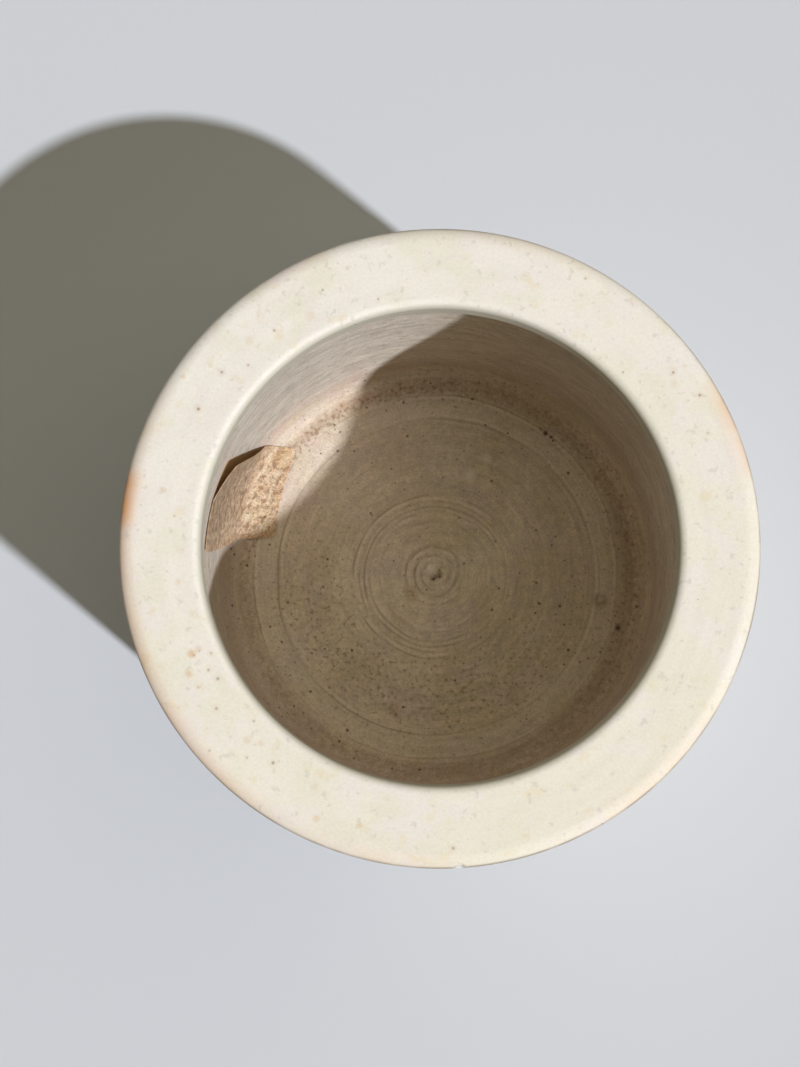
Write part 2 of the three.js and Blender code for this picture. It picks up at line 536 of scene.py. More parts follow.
class Graph:
    """The nodes of one material, or of the world, written as sums."""

    speck_least: ClassVar[float] = 0.45
    speck_core: ClassVar[float] = 0.45
    glow_radius: ClassVar[tuple[float, float, float]] = (1.0, 0.7, 0.4)

    def __init__(self, owner: bpy.types.Material | bpy.types.World) -> None:
        """Takes the owner's nodes and clears them.

        Args:
            owner: What the nodes belong to.
        """
        owner.use_nodes = True
        self.owner = owner
        self.tree = owner.node_tree
        self.tree.nodes.clear()
        self.place: Signal = (0.0, 0.0, 0.0)

    def feed(self, socket: Socket, value: Signal) -> None:
        """Links a signal to a socket, or sets the socket to a plain value.

        Args:
            socket: The socket to feed.
            value: A socket, a number, a vector or a colour.
        """
        if isinstance(value, Socket):
            self.tree.links.new(value, socket)
        else:
            socket.default_value = value

    def node(
        self, kind: str, feeds: Mapping[int | str, Signal] | None = None, **settings: object
    ) -> bpy.types.Node:
        """Adds a node.

        Args:
            kind: The node's type, without ShaderNode in front.
            feeds: What goes into its inputs, by number or name.
            **settings: Its properties.

        Returns:
            The node.
        """
        made = self.tree.nodes.new("ShaderNode" + kind)
        for key, value in settings.items():
            setattr(made, key, value)
        for key, value in (feeds or {}).items():
            self.feed(made.inputs[key], value)
        return made

    def out(self, kind: str, *signals: Signal, **settings: object) -> Socket:
        """Adds a node, feeds its first inputs and gives its first output.

        Args:
            kind: The node's type, without ShaderNode in front.
            *signals: What goes into its first inputs.
            **settings: Its properties.

        Returns:
            The output.
        """
        return self.node(kind, dict(enumerate(signals)), **settings).outputs[0]

    def parts(self, vector: Signal) -> tuple[Socket, ...]:
        """The three parts of a vector."""
        return tuple(self.node("SeparateXYZ", {0: vector}).outputs)

    def scaled(self, vector: Signal, factor: Signal) -> Socket:
        """A vector or a colour multiplied by a number."""
        feeds = {0: vector, "Scale": factor}
        return self.node("VectorMath", feeds, operation="SCALE").outputs[0]

    def math(self, operation: str, first: Signal, second: Signal = 0.0) -> Socket:
        """Works out a number with a Math node."""
        return self.out("Math", first, second, operation=operation)

    def add(self, *terms: Signal) -> Socket:
        """The sum of numbers.

        Args:
            *terms: Two numbers or more.

        Returns:
            Their sum.
        """
        total = terms[0]
        for term in terms[1:]:
            total = self.math("ADD", total, term)
        return total

    def times(self, *factors: Signal) -> Socket:
        """The product of numbers.

        Args:
            *factors: Two numbers or more.

        Returns:
            Their product.
        """
        total = factors[0]
        for factor in factors[1:]:
            total = self.math("MULTIPLY", total, factor)
        return total

    def minus(self, first: Signal, second: Signal) -> Socket:
        """The first number less the second."""
        return self.math("SUBTRACT", first, second)

    def least(self, *values: Signal) -> Socket:
        """The least of numbers.

        Args:
            *values: Two numbers or more.

        Returns:
            The least of them.
        """
        total = values[0]
        for value in values[1:]:
            total = self.math("MINIMUM", total, value)
        return total

    def length(self, x: Signal, y: Signal, *more: Signal) -> Socket:
        """The length of a run in the plane.

        Args:
            x: Its run along X.
            y: Its run along Y.
            *more: What is added to the squares.

        Returns:
            The length.
        """
        return self.math("SQRT", self.add(self.times(x, x), self.times(y, y), *more))

    def span(
        self, value: Signal, low: Signal, high: Signal, start: float = 0.0, end: float = 1.0
    ) -> Socket:
        """A smooth step of a number.

        Args:
            value: The number.
            low: Where the step starts.
            high: Where it ends.
            start: The result at low and before it.
            end: The result at high and after it.

        Returns:
            The result.
        """
        return self.out(
            "MapRange", value, low, high, start, end, interpolation_type="SMOOTHSTEP"
        )

    def hump(self, value: Signal, middle: float, breadth: float) -> Socket:
        """A smooth hump of a number: 1 at its middle and 0 past its breadth.

        Args:
            value: The number.
            middle: Where the hump is.
            breadth: How far it reaches to each side.

        Returns:
            The height of the hump.
        """
        return self.span(self.math("ABSOLUTE", self.minus(value, middle)), 0.0, breadth, 1.0, 0.0)

    def noise(
        self,
        place: Signal,
        scale: float,
        detail: float = 2.0,
        roughness: float = 0.5,
        aside: float = 0.0,
    ) -> Socket:
        """Soft noise, mostly between 0.3 and 0.7.

        Args:
            place: Where it is read.
            scale: Its features per millimetre.
            detail: How many finer layers it has.
            roughness: How strong they are.
            aside: How far it is read to the side, where it is unlike another.

        Returns:
            The noise.
        """
        if aside:
            place = self.out("VectorMath", place, (aside, aside, aside), operation="ADD")
        feeds = {"Vector": place, "Scale": scale, "Detail": detail, "Roughness": roughness}
        return self.node("TexNoise", feeds).outputs[0]

    def grain(
        self, scale: float, detail: float = 2.0, roughness: float = 0.5, aside: float = 0.0
    ) -> Socket:
        """Soft noise at the graph's own place, as noise gives it."""
        return self.noise(self.place, scale, detail, roughness, aside)

    def pattern(self, mottle: Mottle) -> Socket:
        """The noise of a mottle, before it is turned into its values."""
        return self.grain(mottle.scale, mottle.detail, mottle.roughness, mottle.aside)

    def valued(self, pattern: Signal, mottle: Mottle) -> Socket:
        """A pattern turned into a mottle's values."""
        return self.span(pattern, mottle.low, mottle.high, mottle.start, mottle.end)

    def mottled(self, mottle: Mottle) -> Socket:
        """The values of a mottle."""
        return self.valued(self.pattern(mottle), mottle)

    def stray(self, scale: float, detail: float, reach: float) -> Socket:
        """Soft noise that strays to both sides of nought.

        Args:
            scale: Its features per millimetre.
            detail: How many finer layers it has.
            reach: What the noise is multiplied by.

        Returns:
            The noise.
        """
        return self.times(self.minus(self.grain(scale, detail), NOISE_MIDDLE), reach)

    def specks(self, spacing: float, size: float, share: Signal) -> Socket:
        """Round specks of uneven size.

        Args:
            spacing: Millimetres between the places where a speck may be.
            size: The radius of the biggest.
            share: How many of those places hold one, from 0 to 1.

        Returns:
            A mask that is 1 on a speck.
        """
        cells = self.node("TexVoronoi", {"Vector": self.place, "Scale": 1 / spacing})
        away = self.times(cells.outputs["Distance"], spacing)
        chance = self.node("SeparateColor", {0: cells.outputs["Color"]})
        radius = self.span(chance.outputs[0], 0.0, 1.0, self.speck_least * size, size)
        spot = self.span(away, self.times(radius, self.speck_core), radius, 1.0, 0.0)
        return self.times(spot, self.math("LESS_THAN", chance.outputs[1], share))

    def blend(self, factor: Signal, first: Signal, second: Signal) -> Socket:
        """Blends two colours.

        Args:
            factor: How much of the second shows.
            first: The first colour.
            second: The second colour.

        Returns:
            The blended colour.
        """
        feeds = dict(zip(MIX_SOCKETS, (factor, first, second)))
        return self.node("Mix", feeds, data_type="RGBA", clamp_factor=True).outputs[2]

    def close(self, shader: Socket, kind: str = "OutputMaterial") -> None:
        """Links the last shader to an output node."""
        self.feed(self.node(kind).inputs[0], shader)

    def surface(
        self, colour: Signal, height: Signal, roughness: Signal, gloss: float, glow: float = 0.0
    ) -> bpy.types.Material:
        """Closes the graph with one dull surface.

        Args:
            colour: Its colour.
            height: Its fine relief, in millimetres.
            roughness: How dull it is.
            gloss: Its specular level.
            glow: How much light goes into it and comes out beside or behind.

        Returns:
            The finished material.
        """
        bump = self.node("Bump", {"Distance": MM, "Height": height})
        feeds = {
            "Base Color": colour,
            "Roughness": roughness,
            "Specular IOR Level": gloss,
            "Subsurface Weight": glow,
            "Subsurface Radius": self.glow_radius,
            "Subsurface Scale": MM,
            "Normal": bump.outputs[0],
        }
        self.close(self.node("BsdfPrincipled", feeds).outputs[0])
        return self.owner


class Coat:
    """A colour that is built up from the ground, one thin layer over the other."""

    def __init__(self, graph: Graph, ground: Signal) -> None:
        """Lays the ground.

        Args:
            graph: The graph that the layers' masks come from.
            ground: The first colour.
        """
        self.graph = graph
        self.colour = ground

    def lay(self, mask: Signal, tone: Signal) -> None:
        """Lays another colour over the coat, as much as a mask says."""
        self.colour = self.graph.blend(mask, self.colour, tone)

    def shade(self, factor: Signal) -> None:
        """Multiplies the coat's colour, which makes it lighter or darker."""
        self.colour = self.graph.scaled(self.colour, factor)

    def vary(self, *changes: Signal) -> None:
        """Makes the coat lighter or darker by shares of itself."""
        self.shade(self.graph.add(*changes, 1.0))

    def mottle(self, mottle: Mottle) -> None:
        """Shades the coat by a mottle."""
        self.shade(self.graph.mottled(mottle))

    def cloud(self, cloud: Cloud) -> None:
        """Lays soft patches of another tone over the coat."""
        self.lay(self.graph.mottled(cloud.mottle), cloud.tone)

    def speckle(self, specks: Speckle) -> None:
        """Scatters specks of another tone over the coat."""
        mask = self.graph.specks(specks.spacing, specks.size, specks.share)
        self.lay(self.graph.times(mask, specks.strength), specks.tone)


class PotGraph(Graph):
    """A graph that knows where it is on the pot, in millimetres."""

    slip_scale: ClassVar[float] = 0.02
    axis_gap: ClassVar[float] = 0.05
    spot_core: ClassVar[float] = 0.1

    def __init__(self, name: str) -> None:
        """Makes the material and its places.

        Args:
            name: Its name.
        """
        super().__init__(bpy.data.materials.new(name))
        self.place = self.scaled(self.node("TexCoord").outputs["Object"], 1 / MM)
        self.x, self.y, self.height = self.parts(self.place)
        self.radius = self.math("MAXIMUM", self.length(self.x, self.y), self.axis_gap)
        self.east = self.math("DIVIDE", self.x, self.radius)
        self.north = self.math("DIVIDE", self.y, self.radius)

    def pattern(self, mottle: Mottle) -> Socket:
        """The noise of a mottle, drawn out as the potter's fingers draw the clay if it says so.

        Args:
            mottle: The mottle.

        Returns:
            The noise.
        """
        if not mottle.per_radian:
            return super().pattern(mottle)
        way = self.add(self.radius, self.height)
        if mottle.slip:
            way = self.add(way, self.stray(self.slip_scale, 1, mottle.slip))
        around = (self.times(side, mottle.per_radian) for side in (self.east, self.north))
        place = self.out("CombineXYZ", *around, self.times(way, mottle.scale))
        return self.noise(place, 1.0, mottle.detail, mottle.roughness, mottle.aside)

    def spot(self, mark: Spot, breadth: float = 1.0) -> Socket:
        """A soft round mark.

        Args:
            mark: The mark.
            breadth: What its size is multiplied by.

        Returns:
            A mask that is the mark's strength at its middle.
        """
        away = self.length(self.minus(self.x, mark.x), self.minus(self.y, mark.y))
        core = self.spot_core * mark.size * breadth
        return self.span(away, core, mark.size * breadth, mark.strength, 0.0)

    def spots(self, marks: Sequence[Spot], breadth: float = 1.0) -> Socket:
        """Several soft round marks, with their sizes multiplied by a breadth."""
        return self.add(*(self.spot(mark, breadth) for mark in marks))

    def towards(self, east: Signal, north: Signal, azimuth: float) -> Socket:
        """How far a run in the plane goes in a direction.

        Args:
            east: Its run along X.
            north: Its run along Y.
            azimuth: The direction, in degrees.

        Returns:
            The distance.
        """
        angle = math.radians(azimuth)
        return self.add(self.times(east, math.cos(angle)), self.times(north, math.sin(angle)))

    def facing(self, azimuth: float, half_width: float) -> Socket:
        """A mask of one side of the pot.

        Args:
            azimuth: The side's direction, in degrees.
            half_width: How far the mask reaches round to each side, in degrees.

        Returns:
            The mask.
        """
        turned = self.towards(self.east, self.north, azimuth)
        return self.span(turned, math.cos(math.radians(half_width)), 1.0)

    def region(self, value: Signal, region: Region) -> Socket:
        """A mask of a band round the pot that shows on one side only.

        Args:
            value: What the band is measured along.
            region: The band and the side.

        Returns:
            The mask.
        """
        band = self.hump(value, region.middle, region.breadth)
        return self.times(band, self.facing(region.azimuth, region.half_width), region.strength)


class SheetGraph(Graph):
    """A graph that knows where it is on a flat sheet, in millimetres."""

    def __init__(self, name: str, width: float, length: float) -> None:
        """Makes the material and its places.

        Args:
            name: Its name.
            width: The sheet's width.
            length: The sheet's length.
        """
        super().__init__(bpy.data.materials.new(name))
        sheet = self.out("UVMap", uv_map="UVMap")
        self.place = self.out("VectorMath", sheet, (width, length, 1), operation="MULTIPLY")
        self.across, self.along, _ = self.parts(self.place)


@dataclass(frozen=True)
class CreamGlaze:
    """The matt cream glaze of the rim and the outside.

    Bands are the radius, the height or the depth below the rim's top at which a step starts
    and ends.
    """

    white: Colour = srgb(242, 235, 220)
    cream: Colour = srgb(237, 227, 202)
    green: Colour = srgb(234, 228, 204)
    pink: Colour = srgb(240, 231, 219)
    yellow: Colour = srgb(233, 216, 176)
    mouth: Colour = srgb(216, 210, 190)
    flush: Colour = srgb(232, 172, 118)
    edge: Colour = srgb(122, 95, 68)
    grey: Colour = srgb(200, 192, 176)
    stain: Colour = srgb(216, 176, 126)
    iron: Colour = srgb(122, 104, 84)
    chip: Colour = srgb(240, 238, 232)
    clouds: tuple[Cloud, ...] = (
        Cloud(green, Mottle(0.09, 0.46, 0.64, end=0.65)),
        Cloud(pink, Mottle(0.11, 0.48, 0.66, end=0.7, aside=300.0)),
        Cloud(yellow, Mottle(0.2, 0.58, 0.74, end=0.45, detail=3, aside=600.0)),
    )
    grainy: Mottle = Mottle(1.3, 0.3, 0.7, 0.95, 1.022, detail=4, roughness=0.66)
    streaky: Mottle = Mottle(0.45, 0.3, 0.7, 0.985, 1.008, detail=3, per_radian=7.0, slip=6.0)
    thrown: Mottle = Mottle(0.16, 0.0, 1.0, detail=1, per_radian=3.0)
    broken: Mottle = Mottle(0.25, 0.3, 0.62, per_radian=9.0)
    dullness: Mottle = Mottle(0.035, 0.3, 0.7, 0.62, 0.54, detail=3)
    smudges: Cloud = Cloud(grey, Mottle(0.5, 0.6, 0.72, end=0.4, detail=3))
    pits: Speckle = Speckle(grey, 2.3, 0.3, 0.2, 0.5)
    few_irons: Speckle = Speckle(iron, 6.5, 0.5, 0.3, 0.5)
    stains: tuple[Spot, ...] = spots_at(
        (-57.6, -25.4, 1.6, 0.85), (-56.0, -24.4, 1.3, 0.45), (-58.2, -30.0, 1.4, 0.6),
        (-44.6, -45.4, 1.5, 0.4), (-41.4, -46.1, 1.2, 0.4), (-28.4, -63.4, 1.3, 0.5),
        (-18.6, -64.9, 1.1, 0.5), (-28.8, -56.1, 1.3, 0.3), (-60.8, -8.7, 1.2, 0.4),
        (-30.3, 54.0, 1.8, 0.3), (-44.6, 48.0, 1.6, 0.25), (55.0, 37.6, 1.6, 0.25),
        (-60.1, 39.5, 1.0, 0.5), (-64.5, 12.7, 1.2, 0.4),
    )
    irons: tuple[Spot, ...] = spots_at(
        (-57.0, -25.8, 0.45, 0.5), (-53.0, -25.3, 0.5, 0.45), (-53.6, -29.2, 0.55, 0.55),
        (-51.4, -31.2, 0.6, 0.65), (-56.0, -33.2, 0.45, 0.4), (-51.7, -38.1, 0.6, 0.6),
        (-43.0, -41.0, 0.5, 0.5), (-38.5, -50.6, 0.6, 0.75), (-44.6, -49.4, 0.45, 0.5),
        (-53.2, -47.8, 0.45, 0.45), (54.8, 40.3, 0.5, 0.75), (60.9, 34.9, 0.5, 0.85),
        (62.7, 26.0, 0.5, 0.4), (34.4, 62.6, 0.5, 0.45), (-56.4, 31.8, 0.6, 0.8),
        (-51.0, 40.5, 0.6, 0.65), (-44.8, 42.2, 0.45, 0.6), (-38.7, 50.4, 0.5, 0.65),
        (-14.3, 57.8, 0.45, 0.5), (3.1, -70.1, 0.6, 0.6),
    )
    iron_halo: float = 2.6
    flashes: tuple[Flash, ...] = (
        Flash(171.5, 6.5, 0.8),
        Flash(168, 22, 0.25),
        Flash(22, 12, 0.5),
        Flash(74, 20, 0.16),
        Flash(204, 36, 0.4),
        Flash(242, 26, 0.14),
        Flash(-46, 22, 0.2),
        Flash(118, 12, 0.14),
        Flash(264, 14, 0.14),
    )
    chip_mark: Spot = Spot(*CHIP_AT, 1.7, 0.9)
    chip_heights: Band = (137.0, 137.6)
    mouth_reach: Band = (0.2, 1.2)
    mouth_heights: Band = (128.0, 131.0)
    flush_radii: Band = (69.5, 75.5)
    flush_depths: Band = (26.0, 7.0)
    line_depths: Band = (4.4, 2.6)
    line_end_depths: Band = (1.9, 1.1)
    line_radii: Band = (72.0, 74.0)
    toasted_rise: Band = (-0.4, 1.6)
    gloss: float = 0.35

    def make(self) -> bpy.types.Material:
        """Builds the glaze.

        Returns:
            The material.
        """
        g = PotGraph("cream_glaze")
        lean = g.add(g.times(g.x, 0.003), g.times(g.y, -0.004), 0.3)
        coat = Coat(g, g.blend(lean, self.white, self.cream))
        for cloud in self.clouds:
            coat.cloud(cloud)
        coat.mottle(self.grainy)
        streaks = g.pattern(self.streaky)
        coat.shade(g.valued(streaks, self.streaky))
        self.edges(g, coat)
        self.specked(g, coat)
        relief = g.add(
            g.times(g.grain(2.4), 0.02),
            g.times(streaks, 0.04),
            g.times(g.pattern(self.thrown), 0.1),
        )
        return g.surface(coat.colour, relief, g.mottled(self.dullness), self.gloss)

    def below_rim(self, depths: Band) -> Band:
        """The heights that are so deep below the rim's top."""
        return POT.rim_top - depths[0], POT.rim_top - depths[1]

    def edges(self, g: PotGraph, coat: Coat) -> None:
        """Thins the glaze at the mouth, at the foot and at the outer edge, which is flushed.

        Args:
            g: The glaze's graph.
            coat: The glaze's colour.
        """
        near, far = self.mouth_reach
        inward = g.span(g.radius, POT.mouth_radius + near, POT.mouth_radius + far, 1.0, 0.0)
        coat.lay(g.times(inward, g.span(g.height, *self.mouth_heights)), self.mouth)
        broken = g.mottled(self.broken)
        by_rim = g.span(
            g.add(g.height, g.stray(0.07, 2, 30.0)), *self.below_rim(self.flush_depths)
        )
        sides = (g.times(g.facing(f.azimuth, f.half_width), f.strength) for f in self.flashes)
        flush = g.times(g.add(*sides), g.span(g.radius, *self.flush_radii), by_rim)
        coat.lay(g.times(flush, g.add(g.times(broken, 0.4), 0.6)), self.flush)
        below = g.span(g.height, *self.below_rim(self.line_end_depths), 1.0, 0.0)
        above = g.span(g.height, *self.below_rim(self.line_depths))
        east_and_south = g.add(g.times(g.east, 0.1), g.times(g.north, -0.12), 0.6)
        thin = g.times(below, above, g.span(g.radius, *self.line_radii), east_and_south)
        coat.lay(g.times(thin, g.add(g.times(broken, 0.5), 0.5)), self.edge)
        ragged = g.add(g.height, g.times(broken, -1.6))
        low, high = self.toasted_rise
        toasted = g.span(ragged, POT.foot_top + low, POT.foot_top + high, 0.6, 0.0)
        coat.lay(toasted, self.stain)

    def specked(self, g: PotGraph, coat: Coat) -> None:
        """Adds what sits in the glaze: smudges, pits, iron specks and the chip.

        Args:
            g: The glaze's graph.
            coat: The glaze's colour.
        """
        coat.cloud(self.smudges)
        coat.speckle(self.pits)
        coat.speckle(self.few_irons)
        coat.lay(g.times(g.spots(self.stains), 0.8), self.stain)
        coat.lay(g.times(g.spots(self.irons, self.iron_halo), 0.3), self.stain)
        coat.lay(g.times(g.spots(self.irons), 0.85), self.iron)
        chipped = g.times(g.spot(self.chip_mark), g.span(g.height, *self.chip_heights))
        coat.lay(chipped, self.chip)


@dataclass(frozen=True)
class InsideGlaze:
    """The thin, streaky glaze of the inside: floor, cove and wall.

    Regions are measured along the way out over the floor and on up the wall, unless a name says
    otherwise.
    """

    floor: Colour = srgb(222, 208, 181)
    olive: Colour = srgb(208, 192, 158)
    mauve: Colour = srgb(213, 197, 181)
    dusky: Colour = srgb(206, 186, 181)
    wall: Colour = srgb(229, 220, 203)
    wall_grey: Colour = srgb(207, 197, 181)
    blush: Colour = srgb(234, 200, 188)
    paste_and_paper_light: Colour = srgb(220, 182, 124)
    brown: Colour = srgb(182, 156, 128)
    groove: Colour = srgb(158, 130, 98)
    smudge: Colour = srgb(172, 132, 92)
    fleck: Colour = srgb(136, 104, 70)
    iron: Colour = srgb(86, 64, 40)
    pale: Colour = srgb(238, 228, 208)
    clouds: tuple[Cloud, ...] = (
        Cloud(olive, Mottle(0.06, 0.42, 0.62, end=0.65, detail=3)),
        Cloud(mauve, Mottle(0.075, 0.46, 0.66, end=0.6, detail=3, aside=300.0)),
    )
    grainy: Mottle = Mottle(1.6, 0.32, 0.68, 0.86, 1.11, detail=4, roughness=0.68)
    crumbled: Mottle = Mottle(1.1, 0.4, 0.6, 0.25, detail=3, roughness=0.6)
    cloudy: Mottle = Mottle(0.42, 0.34, 0.66, 0.91, 1.09, detail=4, roughness=0.74)
    blots: Mottle = Mottle(0.55, 0.38, 0.62, 0.08, 0.68, detail=4, roughness=0.7)
    finger_lines: Mottle = Mottle(
        1.3, 0.36, 0.64, 0.915, 1.05, detail=4, roughness=0.68, per_radian=3.0
    )
    lines_uneven: Mottle = Mottle(0.05, 0.35, 0.6, 0.4, detail=1)
    finger_bands: Mottle = Mottle(0.3, 0.36, 0.64, 0.945, 1.045, per_radian=0.8)
    rings_broken: Mottle = Mottle(0.5, 0.38, 0.6, 0.05, per_radian=2.0)
    wall_streaks: Mottle = Mottle(
        0.4, 0.3, 0.7, detail=3, roughness=0.65, per_radian=12.0, slip=20.0
    )
    wall_rings: Mottle = Mottle(0.11, 0.36, 0.64, 0.94, 1.04, per_radian=1.4, slip=8.0)
    scratches: Mottle = Mottle(
        0.5, 0.6, 0.7, end=0.35, per_radian=16.0, slip=20.0, aside=300.0
    )
    fine_thrown: Mottle = Mottle(1.1, 0.0, 1.0, detail=3, per_radian=2.5)
    wide_thrown: Mottle = Mottle(0.3, 0.0, 1.0, per_radian=6.0, slip=14.0)
    blush_patches: Mottle = Mottle(0.07, 0.35, 0.6, 0.3)
    crumbs: Mottle = Mottle(2.4, 0.44, 0.56, 0.2)
    dusky_cove: Region = Region(66.0, 12.0, -145.0, 100.0, 0.45)
    painted_light_cove: Region = Region(64.0, 6.0, 120.0, 50.0, 0.35)
    painted_shade_south_by_radius: Region = Region(36.0, 20.0, -90.0, 70.0, -0.07)
    speckled: tuple[Region, ...] = (
        Region(36.0, 24.0, -110.0, 150.0, 0.075),
        Region(56.5, 4.5, 130.0, 70.0, 0.12),
        Region(60.0, 13.0, 20.0, 110.0, 0.065),
    )
    painted_highlight_arcs: tuple[Region, ...] = (
        Region(54.0, 0.65, 25.0, 115.0, 0.45),
        Region(48.4, 0.65, 25.0, 115.0, 0.45),
    )
    irons: tuple[Spot, ...] = spots_at(
        (33.2, 43.0, 1.2, 1.0), (34.8, 41.8, 0.8, 0.9), (54.4, -15.5, 1.4, 0.95),
        (*LUMP_AT, 2.8, 0.5), (60.0, -9.2, 0.7, 0.8), (8.6, 3.9, 0.5, 0.9),
        (16.9, -10.1, 0.7, 0.8), (22.1, -12.9, 0.5, 0.9), (31.0, -8.2, 0.7, 0.9),
        (37.2, -9.0, 0.7, 0.9), (33.0, -27.1, 0.5, 0.8), (49.1, -22.6, 0.6, 0.8),
        (5.8, -31.1, 0.6, 0.9), (8.4, -26.0, 0.5, 0.7), (-2.6, -4.1, 0.5, 0.8),
        (-12.5, 4.6, 0.45, 0.8), (-19.4, 18.9, 0.6, 0.8), (16.9, 28.6, 0.6, 0.9),
        (36.0, 11.8, 0.5, 0.8), (18.0, 10.5, 0.6, 0.6), (-33.0, -21.7, 0.5, 0.9),
        (-42.1, -38.7, 0.5, 0.9), (-26.2, -45.9, 0.8, 0.9), (1.3, -0.1, 0.7, 0.8),
        (-0.6, -0.9, 0.7, 0.7),
    )
    smudges: tuple[Spot, ...] = spots_at(
        (*LUMP_AT, 3.4, 0.7), (-12.6, -39.6, 3.0, 0.6), (-7.4, -5.4, 3.0, 0.75),
        (23.6, -33.6, 5.0, 0.35), (-28.0, 52.0, 5.0, 0.3), (1.6, 0.2, 1.4, 0.5),
    )
    pales: tuple[Spot, ...] = spots_at(
        (10.4, 30.4, 3.0, 0.6), (15.5, 35.5, 2.4, 0.5), (49.3, -6.9, 1.7, 0.6)
    )
    shaded_side: Side = (-30.0, 160.0)
    painted_shade_north_side: Side = (85.0, 75.0)
    blush_side: Side = (135.0, 50.0)
    painted_shade_low_wall_side: Side = (-30.0, 130.0)
    painted_light_wall_side: Side = (96.0, 34.0)
    painted_shade_wall_side: Side = (54.0, 40.0)
    finger_side: Side = (0.0, 80.0)
    wall_heights: Band = (11.0, 20.0)
    edge_start: Band = (54.8, 57.0)
    edge_lit: Band = (58.0, 60.5)
    edge_shaded_by: Band = (4.0, 11.5)
    torn_side: float = -40.0
    label: LabelPlace = LabelPlace()
    paste_and_light_rise: float = 6.0
    paste_and_light_heights: Band = (12.0, 18.0)
    roughness: float = 0.64
    gloss: float = 0.3

    def make(self) -> bpy.types.Material:
        """Builds the glaze.

        Returns:
            The material.
        """
        g = PotGraph("inside_glaze")
        way = g.minus(g.add(g.radius, g.height), POT.floor_top)
        on_wall = g.span(g.height, *self.wall_heights)
        coat = Coat(g, g.blend(on_wall, self.floor_colour(g, way), self.wall_colour(g)))
        coat.lay(g.region(way, self.dusky_cove), self.dusky)
        coat.lay(self.blushing(g), self.blush)
        grainy = g.pattern(self.grainy)
        coat.shade(g.valued(grainy, self.grainy))
        coat.lay(g.times(g.spots(self.smudges), g.mottled(self.crumbled)), self.smudge)
        self.button_marks(g, coat)
        self.specked(g, coat, way)
        coat.lay(g.spots(self.pales), self.pale)
        # A paste stain, with painted warm light that comes through and off the loose paper into
        # its shade.
        coat.lay(self.pasted(g), self.paste_and_paper_light)
        relief = g.add(
            g.times(grainy, 0.05),
            g.times(g.pattern(self.fine_thrown), 0.16),
            g.times(g.pattern(self.wide_thrown), 0.3),
        )
        return g.surface(coat.colour, relief, self.roughness, self.gloss)

    def floor_colour(self, g: PotGraph, way: Socket) -> Socket:
        """Colours the floor and the cove.

        Args:
            g: The glaze's graph.
            way: Distance out along the floor and on up the wall.

        Returns:
            The colour.
        """
        coat = Coat(g, self.floor)
        for cloud in self.clouds:
            coat.cloud(cloud)
        self.throw_marks(g, coat)
        coat.lay(g.times(g.hump(way, 50.5, 5.5), 0.27), self.pale)
        # Painted light: a paler band on the lit side of the cove.
        coat.lay(g.region(way, self.painted_light_cove), self.pale)
        # Painted shade: on the side that lies in shade, the band of brown blots at the floor's
        # edge reaches further up the cove and is darkened there.
        in_shade = g.facing(*self.shaded_side)
        ends = zip(self.edge_shaded_by, self.edge_lit)
        low, high = (g.add(g.times(in_shade, shaded), lit) for shaded, lit in ends)
        edge = g.times(g.span(way, *self.edge_start), g.span(way, low, high, 1.0, 0.0))
        coat.vary(g.times(edge, in_shade, -0.07))
        coat.lay(g.times(edge, g.mottled(self.blots)), self.brown)
        self.ring_lines(g, coat)
        return coat.colour

    def throw_marks(self, g: PotGraph, coat: Coat) -> None:
        """Shades the floor where fingers drew it round, and paints shade on its north and south.

        Args:
            g: The glaze's graph.
            coat: The floor's colour.
        """
        strokes = g.minus(g.mottled(self.finger_lines), 1.0)
        lines = g.add(g.times(strokes, g.mottled(self.lines_uneven)), 1.0)
        banded = g.times(lines, g.mottled(self.finger_bands))
        # Painted shade: the floor is darker towards its north and its south.
        north = g.times(g.facing(*self.painted_shade_north_side), g.span(g.radius, 15.0, 45.0), -0.1)
        south = g.region(g.radius, self.painted_shade_south_by_radius)
        coat.shade(g.times(banded, g.add(north, south, g.mottled(self.cloudy))))

    def wall_colour(self, g: PotGraph) -> Socket:
        """Colours the wall with the potter's finger marks, with painted light and painted shade on
        its two sides.

        Args:
            g: The glaze's graph.

        Returns:
            The colour.
        """
        coat = Coat(g, g.blend(g.mottled(self.wall_streaks), self.wall_grey, self.wall))
        coat.mottle(self.wall_rings)
        coat.cloud(Cloud(self.groove, self.scratches))
        # Painted shade: the low wall is browner on the side that lies in shade.
        low = g.span(g.height, 14.0, 60.0, 0.45, 0.0)
        coat.lay(g.times(low, g.facing(*self.painted_shade_low_wall_side)), self.brown)
        # Painted light and shade: the wall is lighter on its lit stretch, and browner and darker
        # on the shaded stretch beside it.
        light, dark = g.facing(*self.painted_light_wall_side), g.facing(*self.painted_shade_wall_side)
        coat.lay(g.times(dark, 0.3), self.brown)
        coat.vary(g.times(light, 0.12), g.times(dark, -0.07))
        return coat.colour

    def blushing(self, g: PotGraph) -> Socket:
        """A mask of the pink blush where the cove meets the wall."""
        low = g.times(g.hump(g.height, 15.0, 13.0), g.facing(*self.blush_side))
        return g.times(low, g.mottled(self.blush_patches), 0.5)

    def pasted(self, g: PotGraph) -> Socket:
        """A mask of a paste stain behind the label's loose corner, in the label's own frame, with
        painted warm light that comes through and off the paper into the corner's shade.

        Args:
            g: The glaze's graph.

        Returns:
            The mask.
        """
        label = self.label
        turn = g.minus(math.radians(label.azimuth), g.math("ARCTAN2", g.y, g.x))
        aside = g.times(turn, g.radius)
        up = g.minus(g.height, label.middle + self.paste_and_light_rise)
        across = g.towards(aside, up, label.tilt)
        along = g.towards(aside, up, label.tilt + 90)
        upper = g.minus(label.width / 2, across)
        lower = g.add(label.width / 4, across)
        end = g.minus(label.length / 2, along)
        inside = g.add(g.least(upper, lower, end), g.stray(0.5, 2, 3.0))
        return g.times(g.span(inside, 0.4, 2.4, 0.0, 0.8), g.span(g.height, *self.paste_and_light_heights))

